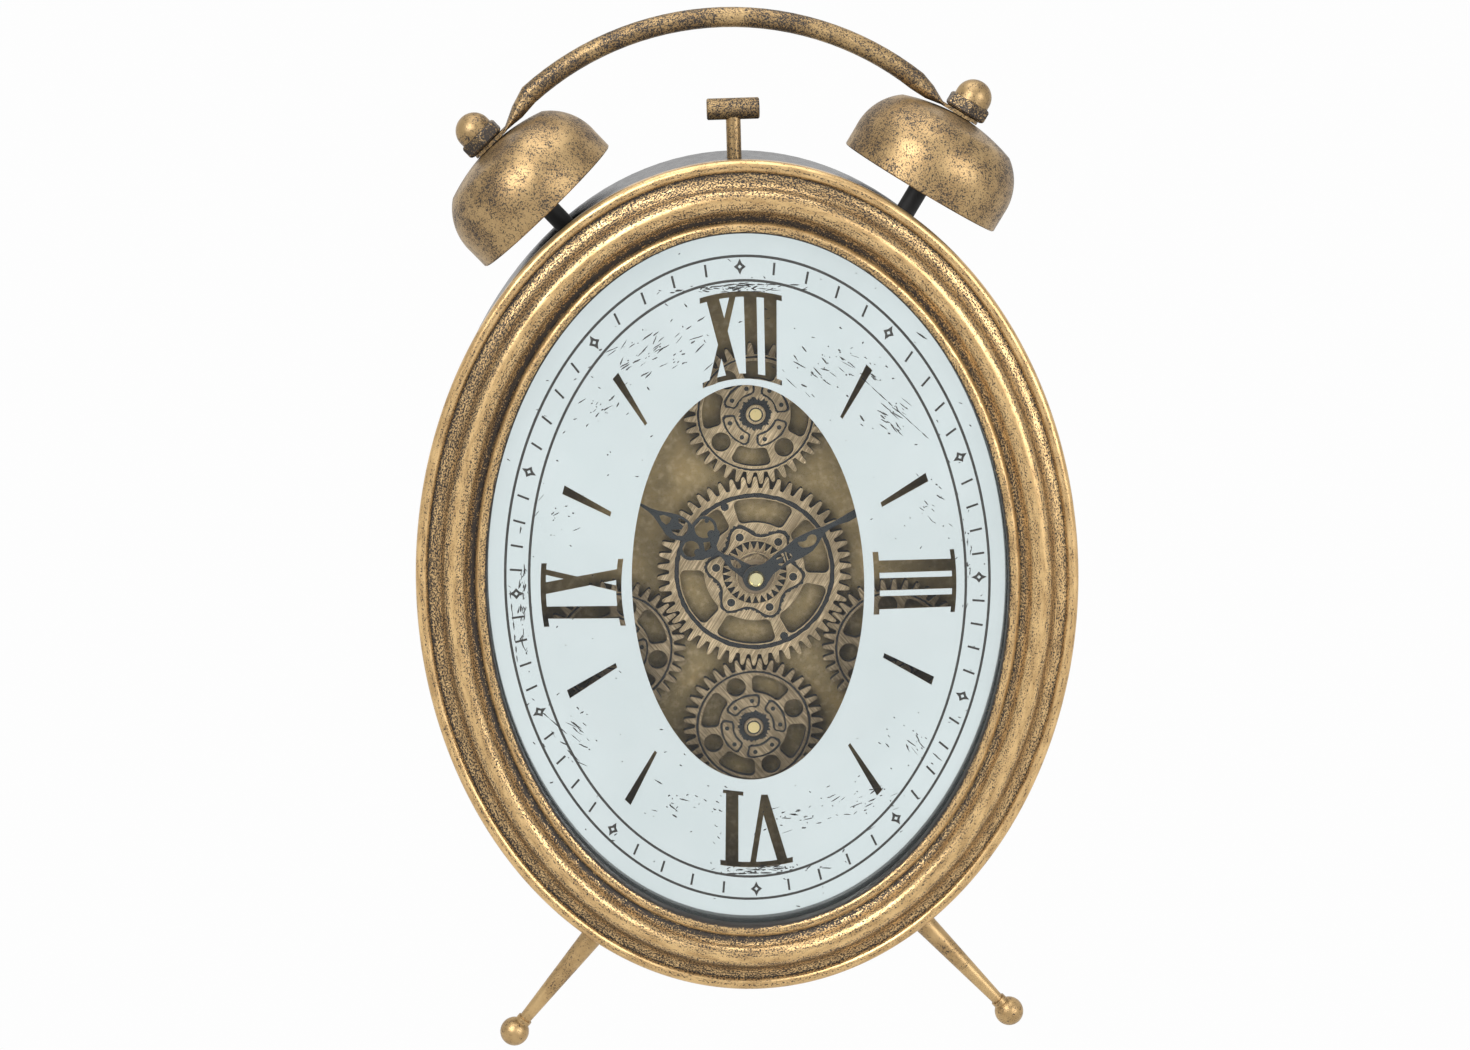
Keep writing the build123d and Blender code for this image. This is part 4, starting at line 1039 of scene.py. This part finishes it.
def make_outer_gear(body, direction, window_turn, materials):
    """Wheel with a grooved rim, four windows, four holes, four brackets and a hub stained with dark wax."""
    piece = Piece(axis_centre(body))
    teeth = gear_outline(OUTER_TEETH, mesh_turn(direction) + MOVEMENT_TURN)
    turn = window_turn + MOVEMENT_TURN
    between = [turn + 45 + 90 * i for i in range(4)]
    openings = [circle(OUTER_BORE, 24)]
    openings += [kidney(*OUTER_WINDOW, turn + 90 * i) for i in range(4)]
    openings += [circle(OUTER_HOLE, 36, polar(OUTER_HOLE_RING, place)) for place in between]
    bore = openings[0]
    rim_back = GEAR_FRONT + OUTER_RIM
    # the back layer: dark wax in the groove, and painted shade on the sides of the teeth and windows
    piece.plate([teeth] + openings, rim_back - 0.1, GEAR_BACK, 0.1, WAX_AND_SHADE)
    groove = ragged(circle(OUTER_GROOVE[1], 120), 0, 0.4)
    piece.worn([teeth, groove], GEAR_FRONT, rim_back, 0.25)
    piece.worn([circle(OUTER_GROOVE[0], 110)] + openings, GEAR_FRONT, rim_back, 0.3)
    strip_front = GEAR_FRONT - BRACKET_RISE
    for place in between:
        # painted shadow round each bracket
        shadow = ragged(kidney(*BRACKET_SHADOW, place), 0.1, 0.5)
        piece.dark_layer([shadow], GEAR_FRONT - DARK_LAYER_LIFT, GEAR_FRONT + 0.1)
        piece.plate([kidney(*BRACKET, place)], strip_front, GEAR_FRONT, 0.2, BARE, RUBBED_AND_LIT, BARE)
        for angle in (place - BRACKET_RIVET_ANGLE, place + BRACKET_RIVET_ANGLE):
            rivet = circle(BRACKET_RIVET, 16, polar(BRACKET_RIVET_RING, angle))
            piece.dark_layer([rivet], strip_front - DARK_LAYER_LIFT, GEAR_FRONT)
    hub_front = GEAR_FRONT - OUTER_HUB_RISE
    stain = ragged(circle(OUTER_HUB_WAX, 90), 0, 1.6)
    piece.dark_layer([stain, bore], GEAR_FRONT - WIDE_DARK_LAYER_LIFT, GEAR_FRONT)
    piece.worn([circle(OUTER_HUB, 40), bore], hub_front, GEAR_FRONT, 0.5)
    piece.dark_layer([circle(OUTER_HUB_CAP, 32), bore], hub_front - DARK_LAYER_LIFT, hub_front + 0.3)
    node = body.replace(" ", "_")
    piece.show(node + "_wheel", body, materials, [node], 30)


# Hands

def make_hand(name, body, turn, front, shapes, materials, collar=None):
    """A pierced hand: shapes are its solid outlines, the holes in them and the bits left in those."""
    piece = Piece(axis_centre(body))
    solids, holes, fills = shapes
    loops = [spun([Vector(point) for point in loop], turn) for loop in solids + holes + fills]
    first_hole = len(solids)
    first_fill = first_hole + len(holes)

    def solid(owner):
        pierced = any(first_hole <= i < first_fill for i in owner)
        return any(i >= first_fill for i in owner) or (bool(owner) and not pierced)

    back = front + HAND_THICKNESS
    # side walls in dull brown: painted highlight along the hand's edges
    piece.stencil(loops, solid, front, back, (0, 0, 1))
    if collar:
        bore = circle(HOUR_BORE, 24)
        piece.plate([circle(collar, 48), bore], back + 0.02, back + 0.8, 0.4, 1)
    piece.show(name, body, materials, [body.replace(" ", "_")], 30)


def hour_shapes():
    """Spear with two eyes, two ring lobes side by side, and a neck with an eye by the hub."""
    spear = [(67.8, -0.2), (62.5, -1.1), (58.1, -1.4), (54.4, -2.3), (50.3, -4), (46.7, -5.3),
             (43.3, -6), (40.3, -5.8), (36, -4.4), (34, -1), (36, 2.8), (38.1, 4),
             (40.2, 4.8), (42.8, 5.4), (45.5, 5.1), (48.6, 3.7), (52.4, 2), (54.9, 1),
             (58, 0.4), (62, 0.2), (67.8, 0.2)]
    web = [(38, -3), (38, 3), (30, 8), (27.6, 8), (25.6, 6.8), (23.4, 4.1),
           (20.6, 0.8), (18.2, 0.5), (15.3, 1.6), (12.3, 2.8), (9.2, 3), (4.5, 3.6),
           (4.5, -3.8), (7.8, -3.1), (11.1, -3), (14.2, -2.7), (17.8, -1.4), (21.4, -1.4),
           (23.2, -3), (23.8, -6.3), (25.5, -9.2), (30, -10)]
    upper, lower = (32.1, -6.6), (32.1, 4.7)
    solids = [circle(6, 48), spear, web, circle(5.8, 40, upper), circle(5.4, 40, lower)]
    holes = [circle(HOUR_BORE, 24), circle(4.5, 32, upper), circle(3.8, 32, lower),
             [(29, -0.9), (26.7, -2.8), (24.5, -0.7), (26.2, 2.1)],
             [(52.6, -0.6), (51.3, -2), (47.5, -2.7), (47, -0.4), (47.8, 1.3), (50.4, 1)],
             [(44.6, -4.4), (42.3, -5), (39.9, -4.4), (38.3, -2.7), (37.9, -0.1), (38.7, 1.8),
              (40.8, 2.9), (43.7, 2.6), (44.2, 1.7), (42.4, 0.3), (40.6, -0.7), (40.8, -2.4),
              (43.9, -2.8)],
             smooth_loop([(14, -0.6), (13.2, -1.6), (10.5, -1.8), (8.2, -0.6), (9.1, 0.9),
                          (11.6, 1.2)], 4)]
    fills = [circle(1, 16, (33.2, -10.2)), circle(1.9, 20, (28, -6.1)),
             circle(1.7, 20, (28.6, 4.4))]
    return solids, holes, fills


def minute_shapes():
    """Long swelling blade with two eyes."""
    blade = [(3.6, 4.8), (6.8, 3.8), (11, 4.1), (14.9, 4.6), (18.4, 4.5), (21.7, 4.8),
             (25.2, 5.5), (28.6, 5), (34.1, 4.1), (38.5, 2.8), (43.4, 2.1), (48, 1.7),
             (54.4, 1.4), (64, 1), (80, 0.7), (97.8, 0.25), (97.8, -0.25), (80, -0.7),
             (64, -1.3), (55, -2.3), (49.5, -1.9), (45, -0.4), (41, 0.1), (37.6, -0.2),
             (35.2, -1.3), (32.1, -2.8), (28.4, -4), (22.8, -3.9), (18.3, -3.1), (13.5, -2.8),
             (9.4, -2.6), (7.3, -3), (3.8, -4.6)]
    solids = [circle(5.8, 48), blade]
    holes = [circle(1.75, 24),
             [(12.4, 1.6), (13.3, 2.8), (14.9, 3.3), (17.9, 2.8), (19.4, 1), (19.6, -0.9),
              (18.1, -1.4), (15.9, -1.3), (12.9, -1.8), (12, -0.6)],
             smooth_loop([(25.2, 3.3), (27.5, 2.1), (29.2, 2), (30.3, 2.8), (32.3, 2.8),
                          (33.6, 1.3), (33, -0.6), (30.7, -1.8), (28, -1.4), (25.9, -0.3),
                          (24.9, 1.3)], 4)]
    claws = [[(12.2, 1.9), (16.4, 1.5), (14.4, -0.5), (12.1, -0.2)],
             [(17, 3.2), (17.8, 3), (16.4, -1.6), (15.6, -1.6)]]
    return solids, holes, claws


def make_hand_nut(material):
    """Round polished nut with a bright chamfered rim and a sunk face."""
    low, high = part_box("hand_nut")
    front, back = (DIAL.y - low.y) / MM, (DIAL.y - high.y) / MM
    profile = [(HAND_NUT, back), (HAND_NUT, front - 1), (HAND_NUT - 0.7, front),
               (HAND_NUT - 1, front), (HAND_NUT - 1.2, front - 0.5), (0.02, front - 0.5)]
    piece = Piece(axis_centre("minute hand"))
    piece.turned(profile, 64, Matrix.Rotation(math.radians(90), 4, "X"))
    piece.show("hand_cap", "minute hand", [material], ["hand_nut"], 20)


# Bells

def bell_matrix(side):
    """Place of a bell's mouth, its axis leaning to the right."""
    right, up, lean = BELLS[side]
    place = Matrix.Translation((right, BELL_DEPTH, up))
    return place @ Matrix.Rotation(math.radians(lean), 4, "Y")


def make_bell(side, materials):
    """Round gong, open below, with a hole in its crown."""
    radius, height = BELL_RADIUS, BELL_HEIGHT
    profile = [(radius - BELL_WALL, 0), (radius - 0.5, 0), (radius, 0.5), (radius, 4.5)]
    shoulder = (0.72 * radius, 0.868 * height)
    crown = (BELL_HOLE, height - 0.02)
    profile += arc_points((radius, 0.25 * height), (0.935 * radius, 0.6 * height), shoulder, 16)
    profile += arc_points(shoulder, (0.38 * radius, 0.964 * height), crown, 12)[1:]
    inner_radius, inner_height = radius - BELL_WALL, height - BELL_WALL
    hollow = [crown, (BELL_HOLE, inner_height)]
    hollow += [(across * inner_radius, rise * inner_height) for across, rise in BELL_HOLLOW]
    piece = Piece()
    place = bell_matrix(side)
    piece.turned(profile, 96, place)
    piece.turned(hollow, 96, place, 1)
    piece.show(side + "_bell_shell", "case", materials, [side + "_bell"], 40)


def make_acorn(side, materials):
    """Domed hexagon nut that clamps the bar's end on a bell."""
    place = bell_matrix(side) @ Matrix.Translation((0, 0, BELL_HEIGHT + NUT_SEAT))
    half = NUT_FLATS / 2
    corner = half / math.cos(math.radians(30))
    rim = [(BELL_HOLE, 0), (half - 0.3, 0), (corner - 0.5, 0.5), (corner, 1.3)]
    rim += [(radius, NUT_HEIGHT - height) for radius, height in reversed(rim)]
    dome = [(DOME_RADIUS, 6.3), (DOME_RADIUS, 8.7)]
    dome += arc_points((DOME_RADIUS, 8.7), (5.9, 14), (0.02, 16.4), 12)[1:]
    piece = Piece()
    piece.turned(rim, 6, place @ Matrix.Rotation(math.radians(30), 4, "Z"), 1)
    piece.turned(dome, 48, place)
    piece.show(side + "_cap_nut", "case", materials, [side + "_acorn_nut"], 28)


# Finish of every part that keeps its own shape

def finish_nodes(looks):
    """Gives each remaining part its own finish, or else the one of its slot in the record."""
    slots = {row["node"]: row["material_slot"] for row in frame["record"]["subparts"]}
    for name, shown in frame["nodes"].items():
        slot = slots.get(name)
        look = looks.get(OWN_LOOKS.get(name) or SLOT_LOOKS.get(slot, slot))
        if look:
            shown.data.materials.clear()
            shown.data.materials.append(look)


# Studio

def make_world():
    """Pale light all round, and plain white where the camera sees it."""
    scene = bpy.context.scene
    scene.view_settings.view_transform = "Standard"
    world = bpy.data.worlds.new("studio")
    world.use_nodes = True
    tree = world.node_tree
    ambient = tree.nodes["Background"]
    plug(tree, ambient.inputs["Color"], (0.97, 0.98, 1))
    plug(tree, ambient.inputs["Strength"], 0.62)
    seen = add(tree, "Background", {"Color": STUDIO_WHITE, "Strength": 1}).outputs[0]
    camera_ray = add(tree, "LightPath").outputs["Is Camera Ray"]
    shown = add(tree, "MixShader", {0: camera_ray, 1: ambient.outputs[0], 2: seen}).outputs[0]
    tree.links.new(shown, tree.nodes["World Output"].inputs["Surface"])
    scene.world = world


def studio_paper():
    """Light paper that the camera sees as plain white and glossy paint mirrors as pale grey."""
    material, tree, shader = new_material("studio_paper")
    grain = noise(tree, coordinates(tree), 3, 2)
    feed(tree, shader, Base_Color=blend(tree, grain, (0.8, 0.8, 0.8), (0.83, 0.83, 0.83)),
         Roughness=0.9)
    path = add(tree, "LightPath").outputs
    surface = shader.outputs[0]
    for ray, colour in (("Is Glossy Ray", (0.9, 0.9, 0.9)), ("Is Camera Ray", STUDIO_WHITE)):
        glow = add(tree, "Emission", {"Color": colour, "Strength": 1}).outputs[0]
        surface = add(tree, "MixShader", {0: path[ray], 1: surface, 2: glow}).outputs[0]
    tree.links.new(surface, tree.nodes["Material Output"].inputs["Surface"])
    return material


def make_floor():
    """A sheet of paper that runs under the clock and bends up behind it."""
    rows = [(-FLOOR_SIZE, 0), (BEND_START, 0)]
    for i in range(1, BEND_STEPS + 1):
        turn = math.pi / 2 * i / BEND_STEPS
        rows.append((BEND_START + BEND_RADIUS * math.sin(turn),
                     BEND_RADIUS - BEND_RADIUS * math.cos(turn)))
    rows.append((BEND_START + BEND_RADIUS, FLOOR_SIZE))
    points = [(side, back, up) for back, up in rows for side in (-FLOOR_SIZE, FLOOR_SIZE)]
    faces = [(2 * i, 2 * i + 1, 2 * i + 3, 2 * i + 2) for i in range(len(rows) - 1)]
    mesh = bpy.data.meshes.new("studio_floor")
    mesh.from_pydata(points, [], faces)
    for polygon in mesh.polygons:
        polygon.use_smooth = True
    mesh.materials.append(studio_paper())
    floor = linked("studio_floor", mesh)


def make_lights():
    """Square lamps that face the dial's middle."""
    for name, place, size, power in LAMPS:
        light = bpy.data.lights.new(name, "AREA")
        light.shape = "SQUARE"
        light.size = size
        light.energy = power
        holder = linked(name, light)
        holder.location = DIAL + Vector(place)
        holder.rotation_mode = "QUATERNION"
        holder.rotation_quaternion = Vector(place).to_track_quat("Z", "Y")


def make_camera():
    """The photograph's view: a little above the dial, slightly from the left, slightly rolled."""
    azimuth, elevation, roll = [math.radians(angle) for angle in VIEW_TURN]
    matrix = (Matrix.Rotation(azimuth, 4, "Z") @ Matrix.Rotation(math.pi / 2 - elevation, 4, "X")
              @ Matrix.Rotation(-roll, 4, "Z"))
    matrix.translation = DIAL + Vector(VIEW_SPOT) * MM + matrix.col[2].xyz * VIEW_DISTANCE
    data = bpy.data.cameras.new("view")
    data.lens = LENS
    data.sensor_width = SENSOR
    camera = linked("view", data)
    camera.matrix_world = matrix
    bpy.context.scene.camera = camera


def main():
    looks = {name: plain(name) for name in PLAIN_LOOKS}
    looks.update((name, antique_gold(name, *values)) for name, values in GOLD_LOOKS.items())
    looks.update((name, gear_bronze(name, *values)) for name, values in BRONZE_LOOKS.items())
    looks.update(black_paint=black_paint(), clear_glass=clear_glass(), cell_wrap=cell_wrap(),
                 plate_bronze=plate_bronze(), mirror_print=silver_print())
    finish_nodes(looks)
    # the dark finish is dark wax and painted shade, the rubbed one rubbed paint and painted highlight
    dull, wax = looks["dull_edge"], looks["dark_wax_and_shade"]
    lit_gear_finishes = [looks["gear_bronze"], wax, looks["rubbed_and_lit_edge"]]
    hands = [looks["hand_black"], dull]
    make_bezel(looks["antique_gold_ring"])
    make_silver([looks["mirror_print"], looks["print_back"], looks["worn_print_and_shade"], dull])
    make_centre_gear(lit_gear_finishes)
    make_star_plate(lit_gear_finishes)
    make_inner_gear(lit_gear_finishes)
    make_outer_gear(*TOP_GEAR, lit_gear_finishes)
    # darker bronze and duller bevels on these three gears: painted shade
    for gear in SHADED_GEARS:
        make_outer_gear(*gear, [looks["gear_bronze_dim"], wax, dull])
    make_hand("hour_pointer", "hour hand", HOUR_TURN, HOUR_FRONT, hour_shapes(), hands, HOUR_COLLAR)
    make_hand("minute_pointer", "minute hand", MINUTE_TURN, MINUTE_FRONT, minute_shapes(), hands)
    make_hand_nut(looks["pale_brass"])
    for side in BELLS:
        make_bell(side, [looks["antique_gold"], looks["bell_inside"]])
        make_acorn(side, [looks["antique_gold_worn"], looks["antique_gold_dark"]])
    make_world()
    make_floor()
    make_lights()
    make_camera()


main()
